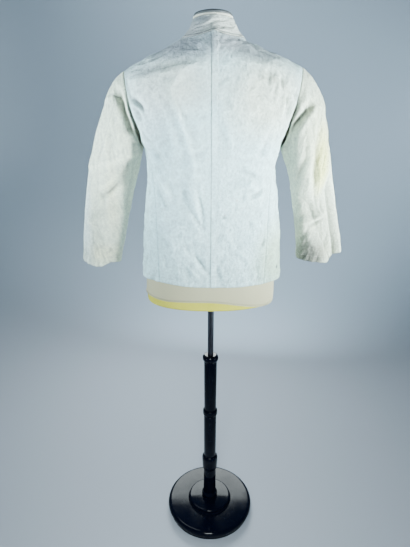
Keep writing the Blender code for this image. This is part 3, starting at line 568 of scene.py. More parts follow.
def crease_rise(creases, x, z):
    """A narrow trough or ridge along each path, with a low swelling beside it."""
    total = np.zeros_like(x)
    for width, rise, *path in creases:
        path, width, rise = np.array(path) / 1000, width / 1000, rise / 1000
        nearest = np.full(x.shape, np.inf)
        along, signed = np.zeros_like(x), np.zeros_like(x)
        lengths = [math.dist(a, b) for a, b in zip(path, path[1:])]
        run = 0.0
        for (x0, z0), (x1, z1), length in zip(path, path[1:], lengths):
            dx, dz = (x1 - x0) / length, (z1 - z0) / length
            reach = np.clip((x - x0) * dx + (z - z0) * dz, 0, length)
            distance = np.hypot(x - x0 - reach * dx, z - z0 - reach * dz)
            closer = distance < nearest
            nearest = np.where(closer, distance, nearest)
            along = np.where(closer, (run + reach) / sum(lengths), along)
            signed = np.where(closer, np.sign((z - z0) * dx - (x - x0) * dz) * distance, signed)
            run += length
        fade = np.sin(np.pi * np.clip(along, 0.04, 0.96)) ** END_FADE
        off_side = (signed - SWELLING_PLACE * width) / (SWELLING_WIDTH * width)
        beside = SWELLING_SHARE * np.exp(-(off_side**2))
        total += rise * fade * (np.exp(-((nearest / width) ** CREASE_SHARPNESS)) - beside)
    return total


# %% [markdown]
# ## Crumple
# Washed cotton is never quite smooth between its folds. Layers of noise, read in the flat cloth's
# own measures, give it a low crumple. The same seed places give the same cloth on every run.

# %% Crumple the cloth
CRUMPLE = table("size height", (0.085, 0.0022), (0.042, 0.0017), (0.021, 0.0011), (0.0105, 0.0006))
LAYER_STEP = 7.3


def crumple(flat, seed):
    """Small lifts and hollows all over a piece, from its flat measures."""
    total = np.zeros(flat.shape[:2])
    for layer, (size, height) in enumerate(zip(*CRUMPLE.values())):
        places = np.dstack([flat / size, np.full(flat.shape[:2], seed + LAYER_STEP * layer)])
        values = np.array([noise.noise(Vector(place)) for place in places.reshape(-1, 3)])
        creased = 0.55 - 2.2 * np.abs(values) + 0.6 * values
        total += height * creased.reshape(flat.shape[:2])
    return total


# %% [markdown]
# ## A cut piece as a thin shell
# A sewn piece is a grid of points for its outer face and another for its inner face, joined round
# the rim. The mesh is written straight from number arrays, which is quick for tens of thousands of
# points. Its UV map is the flat cloth in metres, so that a weave drawn on it keeps its true size.

# %% Make shells
CLOTH = 0.0009


def normals_of(grid, outward):
    """Unit normals of a grid of points, on the side of the given direction."""
    found = np.cross(np.gradient(grid, axis=1), np.gradient(grid, axis=0))
    found /= np.linalg.norm(found, axis=-1, keepdims=True) + 1e-12
    facing = np.sign((found * outward).sum())
    return found * facing


def flat_measures(grid):
    """Distances along the rows and up the columns, in metres."""
    across = np.linalg.norm(np.diff(grid, axis=1), axis=-1)
    up = np.linalg.norm(np.diff(grid, axis=0), axis=-1)
    u = np.concatenate([np.zeros((grid.shape[0], 1)), np.cumsum(across, 1)], 1)
    v = np.concatenate([np.zeros((1, grid.shape[1])), np.cumsum(up, 0)], 0)
    return np.dstack([u, v])


def quads(numbers, closed_round=False):
    """Corner numbers of the faces between neighbours in a grid of vertex numbers."""
    if closed_round:
        numbers = np.hstack([numbers, numbers[:, :1]])
    corners = (numbers[:-1, :-1], numbers[:-1, 1:], numbers[1:, 1:], numbers[1:, :-1])
    return np.stack([c.ravel() for c in corners], 1)


def mesh_from(name, points, faces, measures=None, marks=None):
    """A smooth mesh from vertex and face arrays, with its UV map and marked distances."""
    mesh = bpy.data.meshes.new(name)
    mesh.from_pydata(points.tolist(), [], faces.tolist())
    mesh.shade_smooth()
    if measures is not None:
        layer = mesh.uv_layers.new(name="flat_cloth")
        layer.data.foreach_set("uv", measures[faces.ravel()].astype(np.float32).ravel())
    for key, values in (marks or {}).items():
        attribute = mesh.attributes.new(key, "FLOAT", "POINT")
        attribute.data.foreach_set("value", values.astype(np.float32))
    return add_object(name, mesh)


def shell(name, outer, normal, thickness, measures, marks, round_tube=False):
    """A thin closed wall inside an outer grid of points."""
    rows, columns = outer.shape[:2]
    first = np.arange(rows * columns).reshape(rows, columns)
    second = first + rows * columns
    face = np.cross(outer[1, 0] - outer[0, 0], outer[0, 1] - outer[0, 0])
    if (face * normal[0, 0]).sum() > 0:
        first, second = first[:, ::-1], second[:, ::-1]
    faces = [quads(first, round_tube), quads(second, round_tube)[:, ::-1]]
    rims = [np.stack([second[0], first[0]]), np.stack([first[-1], second[-1]])]
    if not round_tube:
        rims += [np.stack([first[:, 0], second[:, 0]]), np.stack([second[:, -1], first[:, -1]])]
    faces += [quads(rim, round_tube and k < 2) for k, rim in enumerate(rims)]
    points = np.concatenate([outer.reshape(-1, 3), (outer - normal * thickness).reshape(-1, 3)])
    measures = np.tile(measures.reshape(-1, 2), (2, 1))
    marks = {key: np.tile(np.broadcast_to(v, (rows, columns)).ravel(), 2) for key, v in marks.items()}
    return mesh_from(name, points, np.concatenate(faces), measures, marks)


def spread(cells, per_cell, close=()):
    """Places along a run of cells, closer together next to its ends."""
    places = list(np.linspace(0, cells, cells * per_cell + 1))
    places += list(close) + [cells - c for c in close]
    return np.unique(np.round(places, 5))


print("places on two cells:", spread(2, 4))

# %% [markdown]
# ## Fronts and backs
# The hem is turned up and stitched, the front edges are stitched, and the centre back seam is
# felled: its raw edges are folded under a flat band with two stitch rows. The neck has a narrow band.
# Each lies a cloth's thickness proud, and the edges of a sewn piece dip into the seam. Every point
# also keeps how deep it lies below the cloth round it, for painted shade in creases and folds.

# %% Measures of the sewing
HEM_WIDTH = 0.015
FELLED_EDGE_X = -0.0098
BAND_RISE = 0.0007
BAND_STEP = 0.0014
SEAM_DIP = 0.0011
SEAM_DIP_WIDTH = 0.0022
EDGE_TUCK = 0.0006
NECK_BAND = 0.0085
LAP_FOLD_START, LAP_FOLD_END, LAP_LIFT = 0.045, 0.026, 0.0027
FRONT_EDGE_STITCH = 0.004
HOLLOW_DEPTH = 0.0010
HOLLOW_REACH = 8
DEEPEST = 5
PUCKER_HEIGHT = 0.00028
PUCKER_LENGTHS = (0.0055, 0.031, 0.047)
CREASE_GAIN = {BACK: 1.45, FRONT: 1.0}
CREASE_CALM = {"side": 0.012, "top": 0.010}
SEWN_CALM = 0.02
FAR = 1.0
KEPT_REACH = 0.1
SIDE_SEAM_OFF = 0.0011
CELL_COLUMNS = {BACK: 8, FRONT: 6}
HEM_CELL_ROWS = 17
ABOVE_ROWS = 100


def band(distance, width):
    """1 within a band's width of an edge, with a soft step at its end."""
    return 1 - ease((distance - width) / BAND_STEP + 0.5)


def dip(distance):
    """The fall of the cloth into a sewn seam."""
    return -SEAM_DIP * np.exp(-((distance / SEAM_DIP_WIDTH) ** 2))


def hollows(lift):
    """How far each place lies below the cloth round it.

    It is 1 in a crease, more in a deep fold and -1 on a ridge.
    """
    around = lift
    for _ in range(HOLLOW_REACH):
        for axis in (0, 1):
            padded = np.pad(around, [(1, 1) if k == axis else (0, 0) for k in (0, 1)], "edge")
            low, high = np.roll(padded, 1, axis), np.roll(padded, -1, axis)
            around = ((low + padded + high) / 3).take(range(1, padded.shape[axis] - 1), axis)
    return np.clip((around - lift) / HOLLOW_DEPTH, -1, DEEPEST)


def pucker(along, distance, width, seed):
    """Short ripples that a stitch row draws up between itself and the edge."""
    short, middle, long = PUCKER_LENGTHS
    wave = np.sin(along / short * 2 + 3 * np.sin(along / middle + seed))
    wave = wave * (0.6 + 0.4 * np.sin(along / long + 2 * seed))
    window = np.exp(-(((distance - width * 0.75) / (width * 0.6)) ** 2))
    return PUCKER_HEIGHT * wave * window


def surface_area(grid):
    """The area of a grid of points, in square metres."""
    across, up = np.diff(grid, axis=1)[:-1], np.diff(grid, axis=0)[:, :-1]
    return float(np.linalg.norm(np.cross(across, up), axis=-1).sum())


def print_piece(made, flat, base):
    """Prints a piece's widest row, longest column, area and faces."""
    width, length = flat[..., 0].max(), flat[..., 1].max()
    print(f"{made.name}: {width:.3f} x {length:.3f} m, {surface_area(base):.4f} m2,",
          len(made.data.polygons), "faces")


# %% Make the fronts and backs
grids = {}


def body_piece(name, side, face, seed):
    """One back or front, as a grid of outer points with normals and distances to its edges."""
    columns = len(NECK_STATIONS[side, face]) - 1 + SHOULDER_CELLS
    column = spread(columns, CELL_COLUMNS[face], (0.03, 0.08, 0.16))
    level = np.concatenate([np.linspace(0, 1, ABOVE_ROWS)[1:], [0.996, 0.9985]])
    above = HEM_ROWS + np.degrees(np.arccos(1 - 2 * level)) / RING_STEP
    row = np.unique(np.concatenate([spread(HEM_ROWS, HEM_CELL_ROWS), [0.012, 0.03], above]))
    turn, height = panel_places(side, face, row, column, columns)
    base = torso(side, turn, height)
    normal = normals_of(base, base * [1, 1, 0])
    corner = len(NECK_STATIONS[side, face]) - 1
    on_shoulder = column >= corner
    slope = shoulder_slope(side)
    normal[-1, on_shoulder] = np.array([side * slope, 0, 1]) / math.hypot(slope, 1)
    flat = flat_measures(base)
    from_hem = flat[..., 1]
    from_top = flat[-1:, :, 1] - flat[..., 1]
    from_centre = flat[..., 0]
    from_side = flat[:, -1:, 0] - flat[..., 0]

    x, z = base[..., 0], base[..., 2]
    calm = ease((ROWS - row) / 3)[:, None] * ease((columns - column) / 2)[None, :]
    own_face = (turn < 90) == (face == BACK)
    folds = (BACK_FOLDS, BACK_CREASES) if face == BACK else (FRONT_FOLDS, FRONT_CREASES)
    lift = np.where(own_face, soft_rise(folds[0], x, z), 0) * calm
    edge_calm = ease(from_side / CREASE_CALM["side"]) * ease(from_top / CREASE_CALM["top"])
    lift += CREASE_GAIN[face] * np.where(own_face, crease_rise(folds[1], x, z), 0) * edge_calm
    sewn_calm = ease(from_top / SEWN_CALM) * ease(from_side / SEWN_CALM)
    if face == BACK:
        lift += np.where(own_face, crease_rise(ARMHOLE_VALLEYS, x, z), 0)
        sewn_calm = sewn_calm * ease(from_centre / SEWN_CALM)
    lift += crumple(flat, seed) * sewn_calm
    lift += BAND_RISE * band(from_hem, HEM_WIDTH)
    lift += pucker(from_centre, from_hem, HEM_WIDTH, seed)
    lift += dip(from_side) + np.where(on_shoulder, dip(from_top), 0)
    neck = np.where(column <= corner, from_top, FAR)
    lift += 2 * BAND_RISE * band(neck, NECK_BAND)
    if face == BACK:
        if side == RIGHT:
            lift += BAND_RISE * band(-x, -FELLED_EDGE_X)
        lift += dip(from_centre) * 0.3
    elif side == LEFT:
        lift += LAP_LIFT * ease((LAP_FOLD_START - x) / (LAP_FOLD_START - LAP_FOLD_END))
    outer = base + normal * lift[..., None]
    outer[:, -1] -= normal[:, -1] * EDGE_TUCK
    if face == BACK and side == LEFT:
        outer[:, 0] -= normal[:, 0] * EDGE_TUCK
        outer[:, 0, 0] -= EDGE_TUCK

    # Distances that the cloth's material reads: to a sewn seam, to a turned-up hem and to the neck
    in_armhole = (row > HEM_ROWS)[:, None]
    plain = np.where(in_armhole, FAR, from_side + SIDE_SEAM_OFF)
    plain = np.minimum(plain, np.where(on_shoulder, from_top, FAR))
    plain = np.minimum(plain, np.minimum(neck, np.abs(neck - NECK_BAND)))
    # A painted highlight makes the raised felled band lighter
    pale = 0.0
    if face == BACK:
        plain = np.minimum(plain, from_centre)
        pale = 0.5 * band(-x, -FELLED_EDGE_X) if side == RIGHT else 0.0
    marks = {
        "to_seam": np.minimum(np.where(in_armhole, from_side, FAR), KEPT_REACH),
        "to_plain_seam": np.minimum(plain, KEPT_REACH),
        "to_hem": np.minimum(from_hem, KEPT_REACH),
        "hollow": hollows(lift) - pale,
    }
    grids[name] = {"outer": outer, "normal": normal, "flat": flat, "top": from_top}
    grids[name].update(column=column, row=row, side=side, face=face)
    made = shell(name, outer, normal, CLOTH, flat, marks)
    print_piece(made, flat, base)
    return made


body_cloth = {}
for face, face_word in ((BACK, "back"), (FRONT, "front")):
    for side, word in ((LEFT, "left"), (RIGHT, "right")):
        name = f"{face_word}_{word}_cloth"
        body_cloth[name] = body_piece(name, side, face, len(body_cloth) + 1.0)

# %% [markdown]
# ## Sleeves
# A sleeve is cut in two, a wide top piece and a narrower under piece. It is a bent tube, drawn here
# as sections from the armhole to the cuff, and its head is eased to the armhole's own shape.

# %% Measures of the sleeves
SLEEVE_COLUMNS = "share outer_x outer_z inner_x inner_z back front drop"
SLEEVE = {
    LEFT: table(
        SLEEVE_COLUMNS,
        (0.00, 0.2190, 1.4065, 0.1785, 1.2270, 0.0540, 0.0680, 0.000),
        (0.06, 0.2425, 1.3860, 0.1815, 1.2180, 0.0555, 0.0660, 0.000),
        (0.13, 0.2610, 1.3570, 0.1850, 1.2060, 0.0570, 0.0640, 0.000),
        (0.20, 0.2750, 1.3200, 0.1885, 1.1920, 0.0580, 0.0610, 0.000),
        (0.30, 0.2935, 1.2740, 0.1950, 1.1640, 0.0575, 0.0590, 0.001),
        (0.42, 0.3130, 1.2200, 0.2055, 1.1310, 0.0565, 0.0570, 0.003),
        (0.58, 0.3330, 1.1410, 0.2190, 1.0770, 0.0550, 0.0570, 0.006),
        (0.75, 0.3490, 1.0500, 0.2340, 1.0160, 0.0480, 0.0580, 0.010),
        (0.90, 0.3600, 0.9740, 0.2480, 0.9580, 0.0370, 0.0600, 0.013),
        (1.00, 0.3640, 0.9300, 0.2580, 0.9180, 0.0310, 0.0610, 0.014),
    ),
    RIGHT: table(
        SLEEVE_COLUMNS,
        (0.00, 0.2215, 1.4150, 0.1785, 1.2270, 0.0540, 0.0680, 0.000),
        (0.06, 0.2450, 1.3930, 0.1815, 1.2190, 0.0550, 0.0650, 0.000),
        (0.13, 0.2680, 1.3600, 0.1855, 1.2090, 0.0565, 0.0630, 0.000),
        (0.20, 0.2840, 1.3240, 0.1900, 1.1960, 0.0570, 0.0600, 0.000),
        (0.30, 0.2950, 1.2760, 0.1985, 1.1740, 0.0560, 0.0570, 0.001),
        (0.42, 0.3080, 1.2120, 0.2080, 1.1450, 0.0545, 0.0550, 0.003),
        (0.58, 0.3260, 1.1330, 0.2175, 1.0940, 0.0520, 0.0550, 0.006),
        (0.75, 0.3465, 1.0430, 0.2300, 1.0330, 0.0450, 0.0560, 0.010),
        (0.90, 0.3635, 0.9730, 0.2380, 0.9680, 0.0350, 0.0580, 0.012),
        (1.00, 0.3675, 0.9400, 0.2420, 0.9280, 0.0300, 0.0590, 0.012),
    ),
}
CUFF_START = 0.86
CUFF_DIP = {
    LEFT: table(
        "angle drop",
        (0, 0.0010), (30, 0.0040), (90, 0.0040), (105, -0.0020), (124, -0.0085),
        (150, -0.0040), (180, 0.0015), (220, 0.0), (330, 0.0), (360, 0.0010),
    ),
    RIGHT: table(
        "angle drop",
        (0, 0.0), (30, 0.0030), (50, 0.0090), (70, 0.0108), (90, 0.0040),
        (110, 0.0010), (150, 0.0), (360, 0.0),
    ),
}
SLEEVE_HEAD = 0.22
HIND_SEAM = {LEFT: 60, RIGHT: 80}
FORE_SEAM = 240
ARMHOLE_GAP = 0.0008
CUFF_WIDTH = 0.018
HEAD_TUCK = 0.0008
SLEEVE_EASE = {LEFT: 0.90, RIGHT: 0.75}
SLEEVE_ROWS = 215
SLEEVE_STEP = 2.0
HEAD_OFF = 0.008
CUFF_PUCKER = 3

# %% The sleeve's surface


def sleeve_section(side, share, angle):
    """Points of the plain sleeve: 0 degrees at its outer line, 90 at the back."""
    row = {key: read(SLEEVE[side], key, share) for key in SLEEVE[side]}
    turn = np.radians(angle)
    half = (1 + np.cos(turn)) / 2
    across = np.sin(turn)
    drop = read(CUFF_DIP[side], "drop", angle % 360)
    drop = drop * ease((share - CUFF_START) / (1 - CUFF_START))
    return np.stack(
        [
            side * mix(row["inner_x"], row["outer_x"], half),
            across * np.where(across > 0, row["back"], row["front"]),
            mix(row["inner_z"], row["outer_z"], half) - row["drop"] * across - drop,
        ],
        -1,
    )


def sleeve_surface(side, share, angle):
    """Sections drawn to the armhole's shape near the sleeve head."""
    fit = (1 - np.minimum(share / SLEEVE_HEAD, 1)) ** 2
    armhole = torso(side, *armhole_edge(side, angle % 360))
    points = sleeve_section(side, share, angle)
    points = points + (armhole - sleeve_section(side, 0 * share, angle)) * fit[..., None]
    points[..., 0] += side * ARMHOLE_GAP
    return points


# %% Make the sleeves


def sleeve_piece(name, side, start, end, seed):
    """One piece of a sleeve, between two angles round it, as a grid like those of the body."""
    share = np.linspace(0, 1, SLEEVE_ROWS)
    share = np.unique(np.concatenate([share, [0.001, 0.003, 0.997, 0.999]]))
    angle = np.arange(start, end + 0.1, SLEEVE_STEP)
    angle = np.unique(np.concatenate([angle, [start + 0.6, start + 1.2, end - 1.2, end - 0.6]]))
    share, angle = np.meshgrid(share, angle, indexing="ij")
    base = sleeve_surface(side, share, angle)
    axis = sleeve_surface(side, share, angle * 0) + sleeve_surface(side, share, angle * 0 + 180)
    normal = normals_of(base, base - axis / 2)
    flat = flat_measures(base)
    from_cuff = flat[-1:, :, 1] - flat[..., 1]
    from_head = flat[..., 1]
    from_side = np.minimum(flat[..., 0], flat[:, -1:, 0] - flat[..., 0])

    x, z = base[..., 0], base[..., 2]
    wrapped = angle % 360
    hind = (wrapped > 0) & (wrapped < 180)
    backwards = np.sin(np.radians(angle))
    sideways = np.abs(backwards)
    calm = ease(share / 0.06) * ease((1 - share) / 0.04) * ease(sideways / 0.6)
    back_soft, front_soft = (soft_rise(rows, x, z) for rows in (SLEEVE_BACK_FOLDS, SLEEVE_FRONT_FOLDS))
    lift = np.where(hind, back_soft, front_soft) * calm
    creases = (SLEEVE_BACK_CREASES, SLEEVE_FRONT_CREASES)
    back_fine, front_fine = (crease_rise(rows, x, z) for rows in creases)
    facets = facet_fall(x, z)
    fine = SLEEVE_EASE[side] * np.where(hind, back_fine, front_fine) + np.where(hind, facets, 0)
    lift += fine * ease(from_head / CREASE_CALM["side"]) * ease(sideways / 0.35)
    valleys = np.where(hind, crease_rise(ARMHOLE_VALLEYS, x, z), 0)
    lift += valleys * ease(backwards / 0.5)
    # The crumple shows most where a sleeve faces back or front, and least in a flat facet
    facing = mix(0.35, 1.15, ease(sideways / 0.6))
    facing = facing * np.where(hind, 1 + facets.clip(-0.012, 0) / 0.016, 1)
    lift += crumple(flat, seed) * facing * ease(from_head / SEWN_CALM) * ease(from_side / 0.01)
    lift += dip(from_side) * 0.35 + dip(from_head)
    lift += BAND_RISE * band(from_cuff, CUFF_WIDTH)
    lift += pucker(flat[..., 0], from_cuff, CUFF_WIDTH, seed) * CUFF_PUCKER
    outer = base + normal * lift[..., None]
    outer[0] -= normal[0] * HEAD_TUCK
    outer[0, :, 0] -= side * HEAD_TUCK

    marks = {
        "to_seam": np.minimum(from_head + HEAD_OFF, KEPT_REACH),
        "to_plain_seam": np.minimum(from_side, KEPT_REACH),
        "to_hem": np.minimum(from_cuff, KEPT_REACH),
        "hollow": hollows(lift),
    }
    grids[name] = {"outer": outer, "normal": normal, "flat": flat, "cuff": from_cuff}
    made = shell(name, outer, normal, CLOTH, flat, marks)
    print_piece(made, flat, base)
    return made


sleeve_cloth = {}
for side, word in ((LEFT, "left"), (RIGHT, "right")):
    hind = HIND_SEAM[side]
    for part, start, end in (("top", FORE_SEAM, 360 + hind), ("under", hind, FORE_SEAM)):
        name = f"sleeve_{word}_{part}_cloth"
        sleeve_cloth[name] = sleeve_piece(name, side, start, end, 5.0 + side + start / 100)

# %% [markdown]
# ## Collar
# The collar is a plain standing band, two cloths thick, that leans in to the neck of the form.
# It starts on the neckline of the body, where its foot is a narrow raised edge, and is a little
# hollow above that.

# %% Make the collar
COLLAR_TOP_HALF_WIDTH = 0.0505
COLLAR_TOP_DEPTH = {BACK: 0.0515, FRONT: 0.058}
COLLAR_HOLLOW = 0.0035
COLLAR_END = 178.4
COLLAR_GAP = 0.0008
COLLAR_WALL = 0.0017
COLLAR_FOOT = 0.0068
FOOT_RISE = 0.0016
# The raised foot band of the collar gets a painted highlight
PAINTED_FOOT_HIGHLIGHT = 0.8
TOP_ROUNDING, TOP_ROUNDING_WIDTH = 0.0006, 0.0012
RIPPLE_RISE, RIPPLE_LENGTH = 0.0006, 0.017
RIPPLE_UP, RIPPLE_WIDTH = 0.014, 0.004
COLLAR_ROWS = 48
COLLAR_STEP = 1.1
COLLAR_TOP = table(
    "station height",
    (0, 1.5170), (60, 1.5155), (90, 1.5120), (140, 1.4920), (180, 1.4760),
)


def collar_grid():
    """Outer points and outward directions, from the foot to the top edge."""
    left = np.arange(COLLAR_END, 3.5, -COLLAR_STEP)
    sides = np.concatenate([np.full(len(left), LEFT), np.full(len(left), RIGHT)])
    stations = np.concatenate([left, left[::-1]])
    rows = spread(COLLAR_ROWS, 1, (0.25, 0.5))[:, None] / COLLAR_ROWS
    feet = []
    for side, station in zip(sides, stations):
        face = BACK if station <= 90 else FRONT
        feet.append(torso(side, *neckline(side, np.array(float(station)), face)))
    feet = np.array(feet) + [0, 0, COLLAR_GAP]
    angle = np.radians(stations)
    outward = np.stack([sides * np.sin(angle), np.cos(angle), 0 * angle], -1)
    deep = np.where(stations <= 90, COLLAR_TOP_DEPTH[BACK], COLLAR_TOP_DEPTH[FRONT])
    top = outward * np.stack([np.full(len(deep), COLLAR_TOP_HALF_WIDTH), deep, 0 * deep], -1)
    top[:, 2] = read(COLLAR_TOP, "height", stations)
    grid = feet[None] + (top - feet)[None] * rows[..., None]
    grid = grid - outward[None] * (COLLAR_HOLLOW * np.sin(np.pi * rows))[..., None]
    return grid, np.broadcast_to(outward, grid.shape)


collar_base, collar_outward = collar_grid()
collar_flat = flat_measures(collar_base)
collar_up = collar_flat[..., 1]
collar_down = collar_flat[-1:, :, 1] - collar_up
collar_x, collar_y, collar_z = np.moveaxis(collar_base, -1, 0)
collar_lift = crumple(collar_flat, 9.0) * 0.9
collar_lift += -TOP_ROUNDING * np.exp(-((collar_down / TOP_ROUNDING_WIDTH) ** 2)) + dip(collar_up) * 0.5
ripple = RIPPLE_RISE * np.exp(-(((collar_up - RIPPLE_UP) / RIPPLE_WIDTH) ** 2))
collar_lift += ripple * np.sin(collar_flat[..., 0] / RIPPLE_LENGTH)
collar_lift += crease_rise(COLLAR_CREASES, collar_x, collar_z) * (collar_y > 0)
collar_foot = band(collar_up, COLLAR_FOOT)
collar_lift += FOOT_RISE * collar_foot
collar_outer = collar_base + collar_outward * collar_lift[..., None]
# The foot band is painted lighter: a painted highlight on its raised edge
collar_marks = {
    "to_seam": KEPT_REACH + 0 * collar_up,
    "to_plain_seam": np.minimum(np.minimum(collar_up, np.abs(collar_up - COLLAR_FOOT)), KEPT_REACH),
    "to_hem": np.minimum(collar_down, KEPT_REACH),
    "hollow": hollows(collar_lift) - PAINTED_FOOT_HIGHLIGHT * collar_foot,
}
collar = shell("collar_cloth", collar_outer, collar_outward, COLLAR_WALL, collar_flat, collar_marks)
print_piece(collar, collar_flat, collar_base)

# %% [markdown]
# ## Dress form
# The form is a block of foam cut to a plain torso, in a jersey cover that is pulled over it and
# ends in a rolled hem, lower on one side. The same rings serve both: the cover is the foam's
# section grown by a small gap, so it can't cut into it.

# %% Sections of the form
FORM = table(
    "height centre half_width back front squareness",
    (0.800, 0.0030, 0.1730, 0.1015, 0.0985, 2.20),
    (0.803, 0.0030, 0.1790, 0.1070, 0.1040, 2.25),
    (0.808, 0.0030, 0.1815, 0.1095, 0.1065, 2.30),
    (0.830, 0.0030, 0.1825, 0.1100, 0.1070, 2.30),
    (0.880, 0.0025, 0.1805, 0.1100, 0.1070, 2.30),
    (0.980, 0.0000, 0.1660, 0.1030, 0.1020, 2.25),
    (1.100, 0.0000, 0.1480, 0.0955, 0.0960, 2.20),
    (1.200, 0.0000, 0.1540, 0.0990, 0.1030, 2.20),
    (1.300, 0.0000, 0.1710, 0.1020, 0.1060, 2.20),
    (1.350, 0.0000, 0.1790, 0.0990, 0.0980, 2.15),
    (1.385, 0.0000, 0.1790, 0.0910, 0.0870, 2.00),
    (1.408, 0.0000, 0.1620, 0.0830, 0.0750, 1.80),
    (1.428, 0.0000, 0.1310, 0.0745, 0.0650, 1.70),
    (1.448, 0.0000, 0.0920, 0.0640, 0.0560, 1.65),
    (1.468, 0.0000, 0.0610, 0.0540, 0.0490, 1.85),
    (1.488, 0.0000, 0.0480, 0.0470, 0.0460, 2.00),
    (1.5225, 0.0000, 0.0445, 0.0445, 0.0445, 2.00),
)
COVER_GAP = 0.0007
COVER_WALL = 0.0012
COVER_HEM_LEVEL = 0.829
COVER_HEM = table(
    "across height",
    (-0.185, 0.8015), (-0.150, 0.8035), (-0.120, 0.8085), (-0.076, 0.8175), (-0.031, 0.8260),
    (0.014, 0.8297), (0.081, 0.8280), (0.126, 0.8255), (0.185, 0.8290),
)
POLE_SOCKET_RADIUS = 0.0094
POLE_SOCKET_DEPTH = 0.12
SOCKET_RIM_RADIUS = 0.05
FOAM_SHARP_ANGLE = 50


def form_ring(height, angle, grow):
    """Points of the form's section, 0 degrees at the left, 90 at the back."""
    power = 2 / read(FORM, "squareness", height)
    cosine, sine = np.cos(np.radians(angle)), np.sin(np.radians(angle))
    deep = np.where(sine > 0, read(FORM, "back", height), read(FORM, "front", height)) + grow
    x = (read(FORM, "half_width", height) + grow) * np.sign(cosine) * np.abs(cosine) ** power
    y = deep * np.sign(sine) * np.abs(sine) ** power
    return np.stack([x + read(FORM, "centre", height), y, height + 0 * x], -1)


# %% Make the foam body and its jersey cover
RING_ANGLES = np.arange(0, 360, 2.5)


def foam_body():
    """Rings from the pole's socket, out under the form and up to its neck."""
    heights = [FORM["height"], np.arange(0.81, 1.52, 0.012), np.linspace(0.8, 0.808, 7)]
    heights = np.unique(np.concatenate(heights))
    height, angle = np.meshgrid(heights, RING_ANGLES, indexing="ij")
    rings = list(form_ring(height, angle, 0.0))
    turn = np.radians(RING_ANGLES)
    low = FORM["height"][0]
    top = low + POLE_SOCKET_DEPTH
    for radius, z in ((SOCKET_RIM_RADIUS, low), (POLE_SOCKET_RADIUS, low), (POLE_SOCKET_RADIUS, top)):
        rings.insert(0, np.stack([radius * np.cos(turn), radius * np.sin(turn), z + 0 * turn], -1))
    rings = np.array(rings)
    numbers = np.arange(rings.shape[0] * rings.shape[1]).reshape(rings.shape[:2])
    made = mesh_from("foam_body", rings.reshape(-1, 3), quads(numbers, True))
    close_rings(made)
    return made


def close_rings(made):
    """Caps the open ends of a tube and turns every face outwards."""
    shape = bmesh.new()
    shape.from_mesh(made.data)
    bmesh.ops.holes_fill(shape, edges=shape.edges, sides=0)
    bmesh.ops.recalc_face_normals(shape, faces=shape.faces)
    shape.to_mesh(made.data)
    shape.free()
    made.data.shade_smooth()
    made.data.set_sharp_from_angle(angle=math.radians(FOAM_SHARP_ANGLE))


def jersey_cover():
    """A thin tube on the form, from its rolled hem to the neck."""
    share = np.concatenate([np.linspace(0, 0.1, 12), np.linspace(0.1, 1, 90)[1:]])
    share, angle = np.meshgrid(share, RING_ANGLES, indexing="ij")
    hem = read(COVER_HEM, "height", form_ring(0 * share + COVER_HEM_LEVEL, angle, 0.0)[..., 0])
    height = mix(hem, FORM["height"][-1], share)
    base = form_ring(height, angle, COVER_GAP + COVER_WALL)
    normal = normals_of(base, base * [1, 1, 0])
    flat = flat_measures(base)
    marks = {"to_hem": np.minimum(flat[..., 1], KEPT_REACH)}
    made = shell("jersey_cover", base, normal, COVER_WALL, flat, marks, round_tube=True)
    print_piece(made, flat, base)
    return made


foam = foam_body()
jersey = jersey_cover()
print("foam faces:", len(foam.data.polygons))

# %% [markdown]
# ## Geometry Nodes for what follows a path or is turned
# Three small trees do the repeating work. One sweeps a round bead along a line, for rolled hems.
# One turns a profile about the vertical axis, for everything a lathe made. One sets a row of
# stitches along a line. Each ends in plain geometry with its material. A helper runs a tree on an
# object and keeps the mesh it makes.

# %% Build and run node trees


def new_tree(name, inputs):
    """A geometry tree with its own named inputs. Returns the tree and its first and last nodes."""
    tree = bpy.data.node_groups.new(name, "GeometryNodeTree")
    tree.interface.new_socket("Geometry", in_out="INPUT", socket_type="NodeSocketGeometry")
    tree.interface.new_socket("Geometry", in_out="OUTPUT", socket_type="NodeSocketGeometry")
    for label, kind, default in inputs:
        socket = tree.interface.new_socket(label, in_out="INPUT", socket_type=kind)
        if default is not None:
            socket.default_value = default
    return tree, tree.nodes.new("NodeGroupInput"), tree.nodes.new("NodeGroupOutput")


def node(tree, kind, links=None, **settings):
    """A node with its settings and links from other sockets."""
    made = tree.nodes.new(kind)
    for key, value in settings.items():
        setattr(made, key, value)
    for socket, source in (links or {}).items():
        if hasattr(source, "is_linked"):
            tree.links.new(source, made.inputs[socket])
        else:
            made.inputs[socket].default_value = source
    return made


def finish_tree(tree, start, end, geometry):
    """Plain geometry with the tree's material as its result."""
    realized = node(tree, "GeometryNodeRealizeInstances", {"Geometry": geometry})
    parts = {"Geometry": realized.outputs[0], "Material": start.outputs["Material"]}
    coated = node(tree, "GeometryNodeSetMaterial", parts)
    tree.links.new(coated.outputs[0], end.inputs[0])
    print("tree:", tree.name)


def sums(tree, operation, a, b=0.0, c=0.0):
    """The output of a Math node, from sockets or plain numbers."""
    return node(tree, "ShaderNodeMath", {0: a, 1: b, 2: c}, operation=operation).outputs[0]


def times(tree, a, b):
    return sums(tree, "MULTIPLY", a, b)


def times_add(tree, a, b, c):
    """a times b, plus c."""
    return sums(tree, "MULTIPLY_ADD", a, b, c)


def run_tree(tree, source, name, values):
    """Runs a tree on an object and returns a new plain mesh object of the result."""
    modifier = source.modifiers.new("tree", "NODES")
    modifier.node_group = tree
    for item in tree.interface.items_tree:
        if item.in_out == "INPUT" and item.name in values:
            modifier[item.identifier] = values[item.name]
    graph = bpy.context.evaluated_depsgraph_get()
    mesh = bpy.data.meshes.new_from_object(source.evaluated_get(graph), depsgraph=graph)
    bpy.data.objects.remove(source)
    return add_object(name, mesh)


